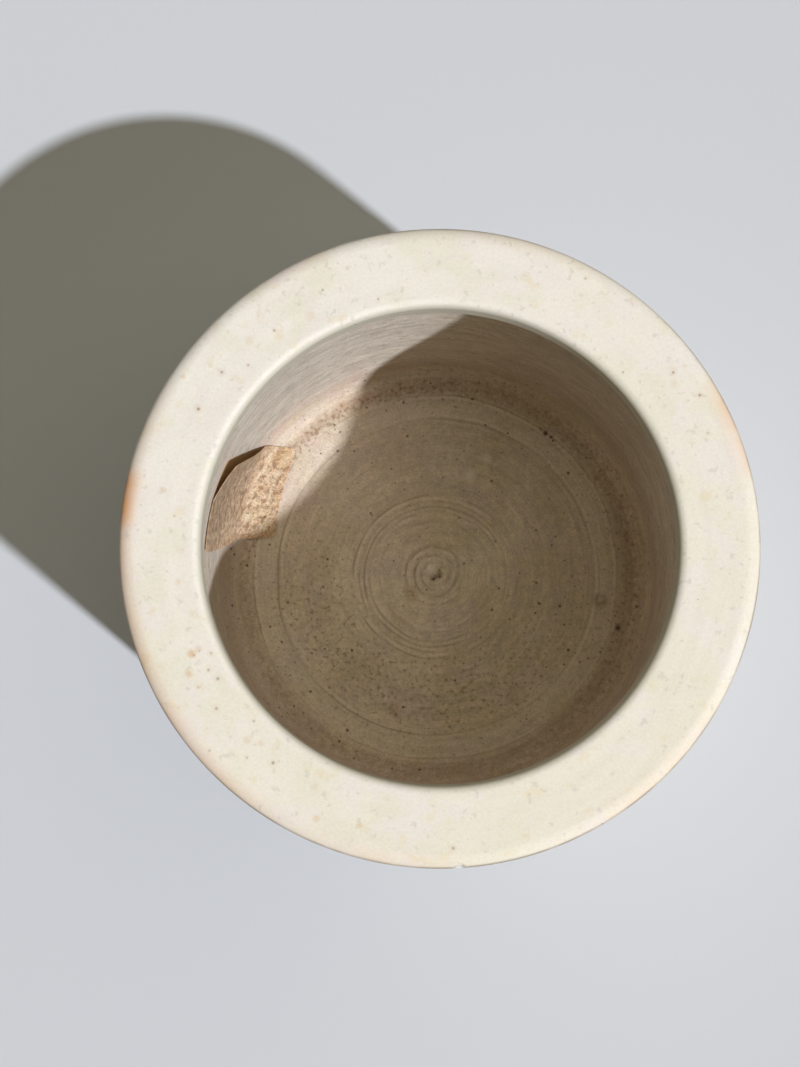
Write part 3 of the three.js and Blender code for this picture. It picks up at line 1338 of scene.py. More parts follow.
    def button_marks(self, g: PotGraph, coat: Coat) -> None:
        """Colours the thumb's button, which is pale, with dirt where it is torn and a painted
        highlight on its other side.

        Args:
            g: The glaze's graph.
            coat: The glaze's colour.
        """
        east, north = g.minus(g.x, BUTTON_AT[0]), g.minus(g.y, BUTTON_AT[1])
        away = g.length(east, north, 0.01)
        turned = g.math("DIVIDE", g.towards(east, north, self.torn_side), away)
        ragged = g.add(away, g.stray(0.9, 2, 1.4))
        coat.lay(g.span(ragged, 1.1, 2.2, 0.8, 0.0), self.pale)
        torn = g.times(g.hump(ragged, 2.5, 0.8), g.span(turned, 0.25, 0.7, 0.0, 0.75))
        coat.lay(g.times(torn, g.mottled(self.crumbs)), self.iron)
        # Painted highlight: a pale crescent on the side of the button away from the tear.
        rubbed = g.times(g.hump(ragged, 3.0, 0.9), g.span(turned, -0.7, -0.2, 0.45, 0.0))
        coat.lay(rubbed, self.pale)

    def specked(self, g: PotGraph, coat: Coat, way: Socket) -> None:
        """Adds iron specks, which are dense towards the cove and sparse on the wall.

        Args:
            g: The glaze's graph.
            coat: The glaze's colour.
            way: Distance out along the floor and on up the wall.
        """
        dense = g.times(g.span(way, 10.0, 58.0, 0.4, 0.85), g.span(way, 64.0, 80.0, 1.0, 0.25))
        denser = (g.region(way, region) for region in self.speckled)
        ragged = g.add(g.grain(0.8, 4, 0.7), *denser)
        coat.lay(g.span(ragged, 0.6, 0.7, 0.0, 0.65), self.fleck)
        coat.lay(g.times(g.specks(2.3, 0.46, g.times(dense, 0.75)), 0.45), self.iron)
        coat.lay(g.times(g.specks(4.0, 0.62, dense), 0.8), self.iron)
        coat.lay(g.spots(self.irons), self.iron)

    def ring_lines(self, g: PotGraph, coat: Coat) -> None:
        """Paints each ring of the floor with a darker line of painted shade, and a lighter line of
        painted highlight beside it.

        Args:
            g: The glaze's graph.
            coat: The floor's colour.
        """
        wandering = g.add(g.radius, g.stray(0.06, 1, 1.6))
        west = g.add(g.times(g.east, -0.35), 0.8)
        # Painted shade and highlight of the rings' relief, stronger towards the west.
        broken = g.times(g.mottled(self.rings_broken), west)
        for ring in RINGS:
            groove = g.hump(wandering, ring.radius, 0.55)
            ridge = g.hump(wandering, ring.radius - 0.95, 0.75)
            coat.lay(g.times(groove, broken, 1.5 * ring.line), self.groove)
            coat.lay(g.times(ridge, broken, 1.2 * ring.line), self.pale)
        # Painted highlight: lighter curves along the two outer rings, on one side.
        for arc in self.painted_highlight_arcs:
            coat.lay(g.region(wandering, arc), self.pale)
        finger = g.times(g.hump(g.height, 17.0, 1.2), g.facing(*self.finger_side), broken)
        coat.lay(g.times(finger, 0.4), self.groove)


@dataclass(frozen=True)
class BareClay:
    """The unglazed, toasted clay of the foot."""

    clay: Colour = srgb(190, 160, 126)
    toasted: Cloud = Cloud(srgb(160, 122, 88), Mottle(0.05, 0.35, 0.65, detail=3))
    sandy: Mottle = Mottle(1.4, 0.3, 0.7, 0.9, 1.05, detail=3, roughness=0.7)
    grit: Speckle = Speckle(srgb(104, 80, 60), 2.0, 0.35, 0.4, 0.6)
    turned: Mottle = Mottle(1.6, 0.0, 1.0, per_radian=4.0)
    roughness: float = 0.85
    gloss: float = 0.2

    def make(self) -> bpy.types.Material:
        """Builds the clay.

        Returns:
            The material.
        """
        g = PotGraph("bare_clay")
        coat = Coat(g, self.clay)
        coat.cloud(self.toasted)
        coat.mottle(self.sandy)
        coat.speckle(self.grit)
        relief = g.add(g.times(g.pattern(self.turned), 0.12), g.times(g.grain(2.2, 3), 0.1))
        return g.surface(coat.colour, relief, self.roughness, self.gloss)


@dataclass(frozen=True)
class AgedPaper:
    """Old brown paper with a rubbed, fibrous face.

    Bands are millimetres along the paper from its floor end, or across it from its lower side.
    """

    width: float
    length: float
    tan: Colour = srgb(212, 180, 148)
    pink: Colour = srgb(220, 187, 159)
    worn: Colour = srgb(150, 120, 92)
    rust: Colour = srgb(184, 144, 106)
    fleck: Colour = srgb(104, 78, 54)
    bright: Colour = srgb(236, 207, 182)
    yellowed: Colour = srgb(206, 172, 122)
    faded: Colour = srgb(184, 160, 128)
    fuzzy: Mottle = Mottle(1.3, 0.32, 0.68, 0.78, 1.16, detail=4, roughness=0.72)
    rubbed: Mottle = Mottle(0.5, 0.38, 0.62, -0.26, 0.3, detail=3, roughness=0.7, aside=500.0)
    flecks: Cloud = Cloud(
        fleck, Mottle(0.9, 0.61, 0.69, end=0.6, detail=3, roughness=0.7, aside=300.0)
    )
    specks: Speckle = Speckle(fleck, 3.4, 0.5, 0.4, 0.6)
    wall_start: Band = (11.0, 24.0)
    painted_light_cove_end: Band = (7.0, 16.0)
    dimmed: Band = (20.0, 36.0)
    lower_side: Band = (0.0, 11.0)
    corner: Point = (3.0, 4.0)
    roughness: float = 0.8
    gloss: float = 0.2
    glow: float = 0.8

    def make(self) -> bpy.types.Material:
        """Builds the paper.

        Returns:
            The material.
        """
        g = SheetGraph("aged_paper", self.width, self.length)
        cloud = g.grain(0.09, 3)
        mottle = g.grain(0.36, 4, 0.66)
        fuzz = g.pattern(self.fuzzy)
        coat = Coat(g, g.blend(g.span(cloud, 0.35, 0.65), self.tan, self.pink))
        coat.lay(g.span(mottle, 0.5, 0.61, 0.0, 0.85), self.worn)
        coat.lay(g.span(mottle, 0.34, 0.47, 0.7, 0.0), self.bright)
        fold = g.math("ABSOLUTE", g.minus(g.grain(0.5, 3, 0.6), NOISE_MIDDLE))
        veins = g.times(g.span(fold, 0.0, 0.04, 1.0, 0.0), g.span(cloud, 0.35, 0.55, 0.3, 0.9))
        coat.lay(veins, self.worn)
        coat.shade(g.valued(fuzz, self.fuzzy))
        self.light_and_dark(g, coat, mottle)
        self.aged_edges(g, coat, cloud, mottle)
        coat.cloud(self.flecks)
        coat.speckle(self.specks)
        relief = g.add(g.times(mottle, 0.3), g.times(fuzz, 0.1))
        return g.surface(coat.colour, relief, self.roughness, self.gloss, self.glow)

    def light_and_dark(self, g: SheetGraph, coat: Coat, mottle: Socket) -> None:
        """Fades and rubs the part on the wall, paints light on the end by the floor and shade up
        the wall, and dims the paper towards its upper end.

        Args:
            g: The paper's graph.
            coat: The paper's colour.
            mottle: The noise of its fibres.
        """
        on_wall = g.span(g.add(g.along, g.times(mottle, 6.0)), *self.wall_start)
        coat.lay(g.times(on_wall, 0.3), self.faded)
        coat.vary(g.times(on_wall, g.mottled(self.rubbed)))
        # Painted light and shade: lighter at the floor end and darker from the cove up.
        coat.shade(g.span(g.along, *self.painted_light_cove_end, 1.27, 0.82))
        coat.vary(g.times(g.span(g.across, *self.lower_side, 0.26, 0.0), on_wall))
        coat.shade(g.span(g.along, *self.dimmed, 1.0, 0.84))

    def aged_edges(self, g: SheetGraph, coat: Coat, cloud: Socket, mottle: Socket) -> None:
        """Rusts the paper along its edges and yellows its corner by the floor.

        Args:
            g: The paper's graph.
            coat: The paper's colour.
            cloud: The noise of its clouds.
            mottle: The noise of its fibres.
        """
        across, along = g.across, g.along
        rim = g.least(across, g.minus(self.width, across), g.minus(self.length, along), along)
        ragged = g.add(rim, g.times(mottle, -3.0))
        aged = g.times(g.span(ragged, -1.2, 1.2, 0.3, 0.0), g.span(cloud, 0.4, 0.6, 0.3, 0.9))
        low = g.span(g.add(across, g.times(mottle, -3.0)), -1.0, 2.0, 0.2, 0.0)
        coat.lay(g.math("MAXIMUM", aged, low), self.rust)
        from_side, from_end = self.corner
        corner = g.times(g.hump(across, self.width - from_side, 3.5), g.hump(along, from_end, 5.0))
        coat.lay(g.times(corner, mottle, 0.6), self.yellowed)


@dataclass(frozen=True)
class FloorMarks:
    """What the thrower's thumb left on the floor: rings, a spiral and a button."""

    ring_breadth: float = 0.7
    ring_waver: float = 0.45
    waver_length: float = 18.0
    patch_length: float = 16.0
    patch_strength: float = 1.1
    ring_strength: float = 0.6
    ring_faintest: float = 0.1
    both_sides: float = 0.75
    west_side: float = 0.4
    button_radius: float = 2.0
    button_height: float = 0.8
    button_roughness: float = 0.18
    torn_from: float = -95.0
    torn_to: float = 25.0
    torn_depth: float = 0.45
    torn_gap: float = 0.5
    torn_breadth: float = 0.55
    spiral_start: float = 2.9
    spiral_end: float = 10.2
    spiral_pitch: float = 2.4
    spiral_height: float = 0.15
    lump: Spot = Spot(*LUMP_AT, 1.5, 0.75)

    def height(self, place: Vector) -> float:
        """Height of the marks at a place on the floor.

        Args:
            place: The place, in millimetres.

        Returns:
            The height, in millimetres.
        """
        if place.z < POT.floor_top - 0.2 or place.xy.length > POT.floor_radius + 1:
            return 0.0
        away = self.lump.away(place) / self.lump.size
        lump = self.lump.strength * math.exp(-away * away)
        return self.ring_height(place) + self.thumb_height(place) + lump

    def ring_height(self, place: Vector) -> float:
        """Depth of the rings at a place, as a height below nought.

        Args:
            place: The place, in millimetres.

        Returns:
            The height, in millimetres.
        """
        radius = place.xy.length
        wander = Vector((place.x, place.y, 3.0)) / self.waver_length
        wandering = radius + self.ring_waver * noise.noise(wander)
        side = self.both_sides - self.west_side * place.x / max(radius, 1.0)
        total = 0.0
        for ring in RINGS:
            away = (wandering - ring.radius) / self.ring_breadth
            patchy = noise.noise(Vector((place.x, place.y, 5 * ring.radius)) / self.patch_length)
            strength = max(self.ring_faintest, self.ring_strength + self.patch_strength * patchy)
            total -= ring.depth * (strength * side) * math.exp(-away * away)
        return total

    def thumb_height(self, place: Vector) -> float:
        """Height of the button, of the tear beside it and of the spiral round it.

        Args:
            place: The place, in millimetres.

        Returns:
            The height, in millimetres.
        """
        east, north = place.x - BUTTON_AT[0], place.y - BUTTON_AT[1]
        radius = math.hypot(east, north)
        if radius > self.spiral_end:
            return 0.0
        angle = math.atan2(north, east)
        rough = 1 + self.button_roughness * noise.noise(Vector((east, north, 9.0)) * 0.9)
        button = self.button_height * max(0.0, 1 - (radius / (self.button_radius * rough)) ** 2)
        torn_middle = math.radians((self.torn_from + self.torn_to) / 2)
        torn_half = math.radians((self.torn_to - self.torn_from) / 2)
        turn = abs(math.remainder(angle - torn_middle, math.tau))
        torn = smoothstep(turn, torn_half, torn_half / 2)
        gap = (radius - self.button_radius - self.torn_gap) / self.torn_breadth
        tear = self.torn_depth * torn * math.exp(-gap * gap)
        near = smoothstep(radius, self.button_radius, self.spiral_start)
        near *= 1 - smoothstep(radius, self.spiral_end - self.spiral_pitch, self.spiral_end)
        ridge = math.cos(math.tau * radius / self.spiral_pitch - angle)
        return button - tear + self.spiral_height * near * ridge


@dataclass
class FootRing:
    """The turned ring that the pot stands on."""

    bevel: float = 0.6
    bevel_steps: int = 4
    crease: float = 30.0

    def build(self) -> bpy.types.Object:
        """Turns the ring.

        Returns:
            The ring.
        """
        outer, inner, bevel = POT.foot_radius, POT.foot_inner, self.bevel
        pen = ProfilePen(inner, POT.foot_top)
        pen.line(inner, bevel)
        pen.quarter((inner + bevel, bevel), bevel, bevel, 180, self.bevel_steps)
        pen.line(outer - bevel, POT.table)
        pen.quarter((outer - bevel, bevel), bevel, bevel, 270, self.bevel_steps)
        pen.line(outer, POT.foot_top)
        pen.line(inner, POT.foot_top)
        return turn_on_wheel("foot_ring_clay", pen.points, Fineness.SEEN)

    def dress(self, piece: bpy.types.Object, clay: bpy.types.Material) -> None:
        """Leaves the ring bare.

        Args:
            piece: The ring.
            clay: The bare clay.
        """
        coat_with(piece, clay)
        finish_piece(piece, ["foot_ring"], self.crease)


class ThrownPiece(ABC):
    """A piece of the thrown body, which is glazed outside and inside."""

    slot: ClassVar[str]
    solid: ClassVar[str]

    @abstractmethod
    def build(self) -> bpy.types.Object:
        """Turns the piece."""

    @abstractmethod
    def is_inside(self, radius: float, height: float) -> bool:
        """Whether a face at a radius and height takes the inside's glaze."""

    def dress(
        self, piece: bpy.types.Object, outside: bpy.types.Material, inside: bpy.types.Material
    ) -> None:
        """Glazes the piece, each face by its place.

        Args:
            piece: The piece.
            outside: The glaze of the outside and the rim.
            inside: The glaze of the inside.
        """
        coat_with(piece, outside, inside)
        for face in piece.data.polygons:
            middle = face.center / MM
            inner = self.is_inside(middle.xy.length, middle.z)
            face.material_index = (Zone.INSIDE if inner else Zone.OUTSIDE).value
        finish_piece(piece, [self.solid])


@dataclass
class Base(ThrownPiece):
    """The thrown floor with its cove, its rings and the thumb's button."""

    slot: ClassVar[str] = "inside_glaze"
    solid: ClassVar[str] = "base"
    bevel_height: float = 3.6
    bevel_run: float = 2.4
    bevel_spacing: float = 1.0
    underside_rise: float = 0.8
    underside_flat: float = 0.8
    underside_steps: int = 12
    underside_spacing: float = 2.0
    marks: FloorMarks = FloorMarks()
    fine_radius: float = 12.0
    fine_spacing: float = 0.3
    ring_radius: float = 30.0
    ring_spacing: float = 0.42
    floor_spacing: float = 0.75
    side_spacing: float = 2.0
    seat_spacing: float = 4.0
    cove_steps: int = 30
    glaze_drop: float = 1.5
    glaze_reach: float = 0.1

    def build(self) -> bpy.types.Object:
        """Turns the base and presses the marks into its floor.

        Returns:
            The base.
        """
        foot, inner, rise = POT.foot_top, POT.foot_inner, self.underside_rise
        bevel_top = foot + self.bevel_height
        pen = ProfilePen(0, foot + rise)
        pen.curve(
            (inner / 2, foot + rise),
            (inner * self.underside_flat, foot + rise / 2),
            (inner, foot),
            self.underside_steps,
        )
        pen.line(POT.body(bevel_top) - self.bevel_run, foot, self.underside_spacing)
        pen.line(POT.body(bevel_top), bevel_top, self.bevel_spacing)
        pen.line(POT.body(POT.shoulder), POT.shoulder, self.side_spacing)
        pen.line(POT.inside_low, POT.shoulder, self.seat_spacing)
        pen.back_along(POT.cove(ProfilePen(POT.floor_radius, POT.floor_top), self.cove_steps))
        pen.line(self.ring_radius, POT.floor_top, self.floor_spacing)
        pen.line(self.fine_radius, POT.floor_top, self.ring_spacing)
        pen.line(0, POT.floor_top, self.fine_spacing)
        piece = turn_on_wheel("base_thrown", pen.points, Fineness.SEEN)
        press(piece, "floor", self.marks.height)
        return piece

    def is_inside(self, radius: float, height: float) -> bool:
        """Whether a face is on the floor or the cove."""
        above = height > POT.floor_top - self.glaze_drop
        return above and radius < POT.inside_low + self.glaze_reach


@dataclass
class Wall(ThrownPiece):
    """The nearly straight thrown wall."""

    slot: ClassVar[str] = "cream_glaze"
    solid: ClassVar[str] = "wall"
    finger_pitch: float = 8.5
    finger_depth: float = 0.14
    finger_fade: float = 8.0
    finger_evenness: float = 0.7
    finger_swing: float = 0.6
    swing_round: float = 40.0
    swing_up: float = 14.0
    skin: float = 0.5
    side_spacing: float = 1.2
    seat_spacing: float = 3.0
    inside_steps: int = 60

    def build(self) -> bpy.types.Object:
        """Turns the wall, with the potter's finger ridges on its outside.

        Returns:
            The wall.
        """
        pen = ProfilePen(POT.body(POT.shoulder), POT.shoulder)
        pen.line(POT.body(POT.rim_seat), POT.rim_seat, self.side_spacing)
        pen.line(POT.inside_high, POT.rim_seat, self.seat_spacing)
        inner = ProfilePen(POT.inside_low, POT.shoulder)
        pen.back_along(POT.inside_wall(inner, self.inside_steps))
        pen.line(POT.body(POT.shoulder), POT.shoulder, self.seat_spacing)
        piece = turn_on_wheel("wall_thrown", pen.points, Fineness.SEEN)
        press(piece, "fingers", self.ridge, "NORMAL")
        return piece

    def ridge(self, place: Vector) -> float:
        """Depth of the finger ridges, as a height below nought.

        Args:
            place: A place on the wall, in millimetres.

        Returns:
            The height, in millimetres, which fades out at the wall's ends.
        """
        if place.xy.length < POT.body(place.z) - self.skin:
            return 0.0
        fade = smoothstep(place.z, POT.shoulder, POT.shoulder + self.finger_fade)
        fade *= smoothstep(place.z, POT.rim_seat, POT.rim_seat - self.finger_fade)
        azimuth = math.atan2(place.y, place.x)
        climb = self.finger_pitch * azimuth / math.tau
        wave = math.cos(math.tau * (place.z - climb) / self.finger_pitch)
        around, up = self.swing_round, self.swing_up
        swing = noise.noise(Vector((place.x / around, place.y / around, place.z / up)))
        uneven = self.finger_evenness + self.finger_swing * swing
        return -self.finger_depth * fade * uneven * (1 - wave) / 2

    def is_inside(self, radius: float, height: float) -> bool:
        """Whether a face is on the inner half of the wall."""
        return radius < (POT.inside_low + POT.body(height)) / 2


@dataclass
class Rim(ThrownPiece):
    """The broad flat rim, folded inwards over the wall."""

    slot: ClassVar[str] = "cream_glaze"
    solid: ClassVar[str] = "rim"
    lip: float = 10.0
    edge_run: float = 3.6
    edge_drop: float = 2.4
    mouth_round: float = 2.2
    under_round: float = 3.2
    fold_straight: float = 11.0
    fold_reach: float = 7.5
    side_spacing: float = 1.2
    flat_spacing: float = 0.8
    seat_spacing: float = 3.0
    edge_steps: int = 14
    mouth_steps: int = 10
    fold_steps: int = 22
    swing_length: float = 30.0
    swing_depth: float = 0.16
    ripple_length: float = 3.0
    ripple_depth: float = 0.06
    chip: Spot = Spot(*CHIP_AT, 1.4, 0.28)
    chip_low: float = 0.8
    chip_high: float = 2.4
    chip_blend: float = 0.4
    chip_cuts: int = 4
    glaze_rise: float = 1.6
    glaze_reach: float = 0.1

    def build(self) -> bpy.types.Object:
        """Turns the rim and breaks a small chip from its outer edge.

        Returns:
            The rim.
        """
        top, seat, mouth = POT.rim_top, POT.rim_seat, POT.mouth_radius
        run, drop = self.edge_run, self.edge_drop
        soft, fold = self.mouth_round, self.under_round
        under = top - self.lip
        pen = ProfilePen(POT.body(seat), seat)
        pen.line(POT.rim_radius, top - drop, self.side_spacing)
        pen.quarter((POT.rim_radius - run, top - drop), run, drop, 0, self.edge_steps)
        pen.line(mouth + soft, top, self.flat_spacing)
        pen.quarter((mouth + soft, top - soft), soft, soft, 90, self.mouth_steps)
        pen.line(mouth, under + fold, self.flat_spacing)
        pen.quarter((mouth + fold, under + fold), fold, fold, 180, self.mouth_steps)
        pen.curve(
            (mouth + fold + self.fold_reach, under),
            (POT.inside_high, seat + self.fold_straight),
            (POT.inside_high, seat),
            self.fold_steps,
        )
        pen.line(POT.body(seat), seat, self.seat_spacing)
        piece = turn_on_wheel("rim_folded", pen.points, Fineness.CLOSE)
        press(piece, "waver", self.waver)
        self.refine_chip(piece)
        press(piece, "chip", self.chip_depth, "NORMAL")
        return piece

    def waver(self, place: Vector) -> float:
        """How far the hand-thrown top rises and falls.

        Args:
            place: A place on the rim, in millimetres.

        Returns:
            The height, in millimetres, never above the rim's own.
        """
        if place.z < POT.rim_top - self.lip / 2:
            return 0.0
        swing = noise.noise(Vector((place.x, place.y, 20.0)) / self.swing_length)
        ripple = noise.noise(Vector((place.xy.length / self.ripple_length, 0.0, 5.0)))
        strength = smoothstep(place.z, POT.rim_top - self.lip / 2, POT.rim_top)
        return -strength * (self.swing_depth * (1 + swing) + self.ripple_depth * (1 + ripple))

    def refine_chip(self, piece: bpy.types.Object) -> None:
        """Divides the faces round the chip, so that it can have a crisp shape.

        Args:
            piece: The rim.
        """
        bpy.ops.object.mode_set(mode="EDIT")
        bpy.ops.mesh.select_all(action="DESELECT")
        bpy.ops.object.mode_set(mode="OBJECT")
        for face in piece.data.polygons:
            middle = face.center / MM
            near = self.chip.away(middle) < 2 * self.chip.size
            face.select = near and middle.z > POT.rim_top - self.lip / 2
        bpy.ops.object.mode_set(mode="EDIT")
        bpy.ops.mesh.select_mode(type="FACE")
        bpy.ops.mesh.subdivide(number_cuts=self.chip_cuts)
        bpy.ops.object.mode_set(mode="OBJECT")

    def chip_depth(self, place: Vector) -> float:
        """Depth of the chip, as a height below nought.

        Args:
            place: A place on the rim, in millimetres.

        Returns:
            The height, in millimetres.
        """
        along = self.chip.away(place)
        if along > 2 * self.chip.size:
            return 0.0
        ragged = 1 + 0.25 * noise.noise(place * 1.4)
        inside = smoothstep(along, self.chip.size * ragged, self.chip.size * ragged * 0.75)
        drop = POT.rim_top - place.z
        inside *= smoothstep(drop, self.chip_low - self.chip_blend, self.chip_low)
        inside *= smoothstep(drop, self.chip_high + self.chip_blend, self.chip_high)
        return -self.chip.strength * inside

    def is_inside(self, radius: float, height: float) -> bool:
        """Whether a face is on the underside of the fold."""
        below = height < POT.rim_top - self.lip + self.glaze_rise
        return below and radius < POT.inside_high + self.glaze_reach


class InsideLine:
    """The inside of the pot as one line, measured from the middle of the floor."""

    floor_spacing: ClassVar[float] = 0.5
    cove_steps: ClassVar[int] = 40
    wall_steps: ClassVar[int] = 80

    def __init__(self) -> None:
        """Draws the line and measures it."""
        pen = ProfilePen(0, POT.floor_top)
        pen.line(POT.floor_radius, POT.floor_top, self.floor_spacing)
        POT.cove(pen, self.cove_steps)
        POT.inside_wall(pen, self.wall_steps)
        self.points = [Vector(point) for point in pen.points]
        self.lengths = [0.0]
        for before, after in zip(self.points, self.points[1:]):
            self.lengths.append(self.lengths[-1] + (after - before).length)

    def at(self, distance: float) -> tuple[Vector, Vector]:
        """A place on the line.

        Args:
            distance: How far along the line it is.

        Returns:
            Its radius and height, and the line's direction there.
        """
        last = len(self.lengths) - 2
        index = next((i for i in range(last) if self.lengths[i + 1] >= distance), last)
        before, after = self.points[index], self.points[index + 1]
        share = (distance - self.lengths[index]) / (self.lengths[index + 1] - self.lengths[index])
        return before.lerp(after, share), self.direction(index, share)

    def direction(self, index: int, share: float) -> Vector:
        """The line's direction, smoothed over its neighbours.

        Args:
            index: Which stretch of the line.
            share: How far along the stretch.

        Returns:
            A unit vector.
        """
        ends = []
        for corner in (index, index + 1):
            before = self.points[max(0, corner - 1)]
            after = self.points[min(len(self.points) - 1, corner + 1)]
            ends.append((after - before).normalized())
        return ends[0].lerp(ends[1], share).normalized()


@dataclass
class PaperLabel:
    """An old paper label, pasted over floor, cove and wall, with a loose corner."""

    at: LabelPlace = LabelPlace()
    upper: Taper = Taper(0.03, -0.6)
    lower: Taper = Taper(0.19, -0.07)
    floor_end_bow: float = 0.6
    thickness: float = 0.25
    clearance: float = 0.3
    bridge_lift: float = 0.72
    bridge_lean: float = 0.9
    bridge_middle: float = 10.3
    bridge_spread: float = 9.6
    peel_lift: float = 2.7
    peel_across: float = 11.8
    peel_down: float = 39.6
    peel_curl: float = 3.2
    crumple: float = 0.22
    crumple_across: float = 3.2
    crumple_along: float = 9.0
    crumple_pasted: float = 0.35
    fray: float = 0.22
    fray_across: float = 4.0
    fray_along: float = 7.0
    crease: float = 60.0
    columns: int = 66
    rows: int = 108

    def build(self) -> bpy.types.Object:
        """Lays a flat grid over the inside of the pot and thickens it.

        Returns:
            The label.
        """
        bpy.ops.object.select_all(action="DESELECT")
        bpy.ops.mesh.primitive_grid_add(
            x_subdivisions=self.columns, y_subdivisions=self.rows, size=1, location=(0, 0, 0)
        )
        piece = lone_object("paper_label_sheet")
        line = InsideLine()
        for vertex in piece.data.vertices:
            across, along = self.cut(2 * vertex.co.x, 2 * vertex.co.y)
            vertex.co = self.laid(line, across, along) * MM
        thick = piece.modifiers.new("thickness", "SOLIDIFY")
        thick.thickness = self.thickness * MM
        thick.offset = 0
        bpy.ops.object.modifier_apply(modifier=thick.name)
        return piece

    def half(self, side: Taper, share: float) -> float:
        """Half the width by one long side, at a share of the length from -1 to 1."""
        return self.at.width / 2 * (1 - side.amount * (share - side.broadest) ** 2)

    def cut(self, side: float, share: float) -> Point:
        """Where a point of the grid lies on the flat paper.

        Args:
            side: Its place across the paper, from -1 at the lower side to 1.
            share: Its place along the paper, from -1 at the floor to 1.

        Returns:
            Millimetres across and along the paper, from its middle.
        """
        wobble = Vector((side * self.fray_across, share * self.fray_along, 2.0))
        upper, lower = self.half(self.upper, share), self.half(self.lower, share)
        across = ((1 + side) * upper - (1 - side) * lower) / 2
        across += side * self.fray * noise.noise(wobble * 1.7)
        bow = self.floor_end_bow * (1 - side**2) * (1 - share) / 2
        along = share * (self.at.length / 2 + self.fray * noise.noise(wobble * 2.3)) - bow
        return across, along

    def laid(self, line: InsideLine, across: float, along: float) -> Vector:
        """Where a point of the flat paper lies in the pot.

        Args:
            line: The pot's inside.
            across: Millimetres across the paper, from its middle.
            along: Millimetres along the paper, from its middle.

        Returns:
            The place, in millimetres.
        """
        tilt = math.radians(self.at.tilt)
        sideways = across * math.cos(tilt) - along * math.sin(tilt)
        upwards = self.at.middle + across * math.sin(tilt) + along * math.cos(tilt)
        seat, direction = line.at(POT.floor_radius + upwards)
        loose = self.looseness(across, along)
        bridge = math.exp(-(((upwards - self.bridge_middle) / self.bridge_spread) ** 2))
        lean = 1 - self.bridge_lean * across / (self.at.width / 2)
        stand_off = self.clearance + self.thickness / 2 + self.bridge_lift * lean * bridge
        stand_off += self.peel_lift * loose
        free = self.crumple_pasted + (1 - self.crumple_pasted) * max(bridge, loose)
        wave = Vector((sideways / self.crumple_across, upwards / self.crumple_along, 4.0))
        stand_off += self.crumple * free * (1 + noise.noise(wave)) / 2
        radius = seat.x - direction.y * stand_off
        azimuth = math.radians(self.at.azimuth) - sideways / seat.x
        height = seat.y + direction.x * stand_off
        return Vector((radius * math.cos(azimuth), radius * math.sin(azimuth), height))

    def looseness(self, across: float, along: float) -> float:
        """How loose the paper is, from 0 where it is pasted.

        Args:
            across: Millimetres across the paper, from its middle.
            along: Millimetres along the paper, from its middle.

        Returns:
            The looseness, which grows towards the upper corner.
        """
        from_side = self.half(self.upper, along / (self.at.length / 2)) - across
        from_top = self.at.length / 2 - along
        beside = min(1.0, max(0.0, 1 - from_side / self.peel_across))
        above = min(1.0, max(0.0, 1 - from_top / self.peel_down))
        return beside * (1 - (1 - above) ** self.peel_curl)

    def dress(self, piece: bpy.types.Object) -> None:
        """Papers the label and puts it in the place of the frame's label.

        Args:
            piece: The label.
        """
        coat_with(piece, AgedPaper(self.at.width, self.at.length).make())
        finish_piece(piece, ["paper_label"], self.crease)


@dataclass(frozen=True)
class Lamp:
    """A far lamp, by its direction as seen from the pot."""

    name: str
    azimuth: float
    height: float
    strength: float
    softness: float
    colour: tuple[float, float, float]
    distance_m: float = 2.0

    def hang(self) -> None:
        """Hangs the lamp."""
        azimuth, height = math.radians(self.azimuth), math.radians(self.height)
        level = math.cos(height)
        towards = Vector((math.cos(azimuth) * level, math.sin(azimuth) * level, math.sin(height)))
        bpy.ops.object.light_add(type="SUN", location=towards * self.distance_m)
        lamp = bpy.context.object
        lamp.name = self.name
        lamp.rotation_mode = "QUATERNION"
        lamp.rotation_quaternion = towards.to_track_quat("Z", "Y")
        lamp.data.energy = self.strength
        lamp.data.angle = math.radians(self.softness)
        lamp.data.color = self.colour


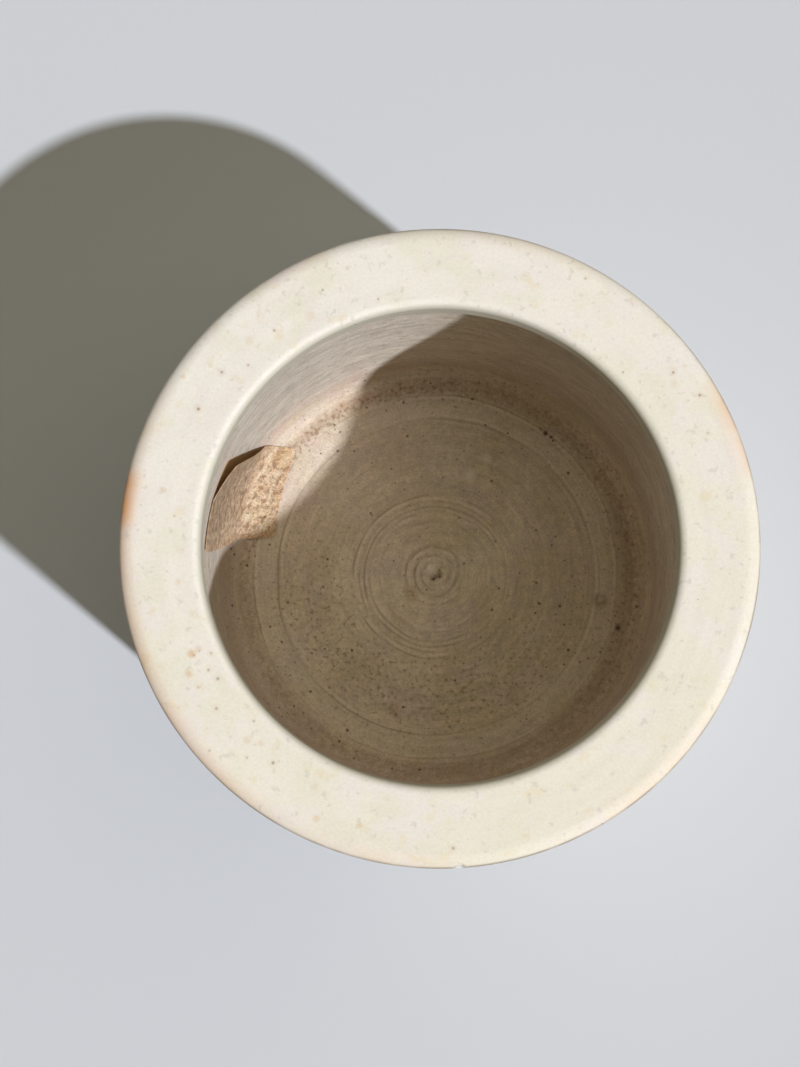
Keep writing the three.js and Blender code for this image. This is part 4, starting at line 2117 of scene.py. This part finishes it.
@dataclass
class Studio:
    """The pale floor, the soft lamps and the camera over the pot."""

    floor_size_m: float = 6.0
    floor_colour: Colour = srgb(206, 208, 210)
    eye: tuple[float, float, float] = (-4.3, -33.4, 605.2)
    right: tuple[float, float, float] = (0.99994, 0.0, -0.0105)
    up: tuple[float, float, float] = (0.0008, 0.99702, 0.0771)
    frame_height_px: float = 1067.0
    focal_px: float = 2000.0
    film_mm: float = 36.0
    lamps: tuple[Lamp, ...] = (
        Lamp("key_lamp", -39.3, 52.3, 3.2, 1.4, (0.88, 0.91, 1.0)),
        Lamp("broad_lamp", 45, 72, 0.56, 55, (1.0, 0.94, 0.78)),
    )
    fill_strength: float = 0.09
    fill_colour: Colour = (1.0, 0.9, 0.65, 1.0)
    backdrop_colour: Colour = srgb(206, 210, 216)

    def build(self) -> None:
        """Builds the studio."""
        self.build_floor()
        for lamp in self.lamps:
            lamp.hang()
        self.build_room()
        self.build_camera()

    def build_floor(self) -> None:
        """Lays the plain floor."""
        bpy.ops.object.select_all(action="DESELECT")
        bpy.ops.mesh.primitive_plane_add(size=self.floor_size_m, location=(0, 0, 0))
        floor = lone_object("studio_floor")
        g = Graph(bpy.data.materials.new("studio_floor"))
        g.close(g.out("BsdfDiffuse", self.floor_colour))
        coat_with(floor, g.owner)

    def build_room(self) -> None:
        """Fills the room with even light, and shows a pale backdrop behind the pot."""
        world = bpy.data.worlds.new("soft_room")
        bpy.context.scene.world = world
        g = Graph(world)
        fill = g.out("Background", self.fill_colour, self.fill_strength)
        backdrop = g.out("Background", self.backdrop_colour)
        rays = g.node("LightPath").outputs
        seen = g.math("MAXIMUM", rays["Is Camera Ray"], rays["Is Glossy Ray"])
        seen = g.math("MAXIMUM", seen, rays["Is Transmission Ray"])
        g.close(g.out("MixShader", seen, fill, backdrop), "OutputWorld")

    def build_camera(self) -> None:
        """Sets the camera over the pot."""
        back = Vector(self.right).cross(Vector(self.up))
        up = back.cross(Vector(self.right)).normalized()
        axes = Matrix((Vector(self.right), up, back.normalized())).transposed()
        bpy.ops.object.camera_add()
        camera = bpy.context.object
        camera.name = "camera"
        camera.matrix_world = Matrix.Translation(Vector(self.eye) * MM) @ axes.to_4x4()
        camera.data.sensor_width = self.film_mm
        camera.data.lens = self.focal_px / self.frame_height_px * self.film_mm
        bpy.context.scene.camera = camera


def main() -> None:
    """Builds the pot, piece by piece, and the studio round it."""
    logging.basicConfig(level=logging.INFO, format="%(name)s: %(message)s")
    outside = CreamGlaze().make()
    inside = InsideGlaze().make()
    foot = FootRing()
    foot.dress(foot.build(), BareClay().make())
    for part in (Base(), Wall(), Rim()):
        part.dress(part.build(), outside, inside)
    label = PaperLabel()
    label.dress(label.build())
    Studio().build()
    bpy.context.scene.view_settings.view_transform = "Standard"


if __name__ == "__main__":
    main()
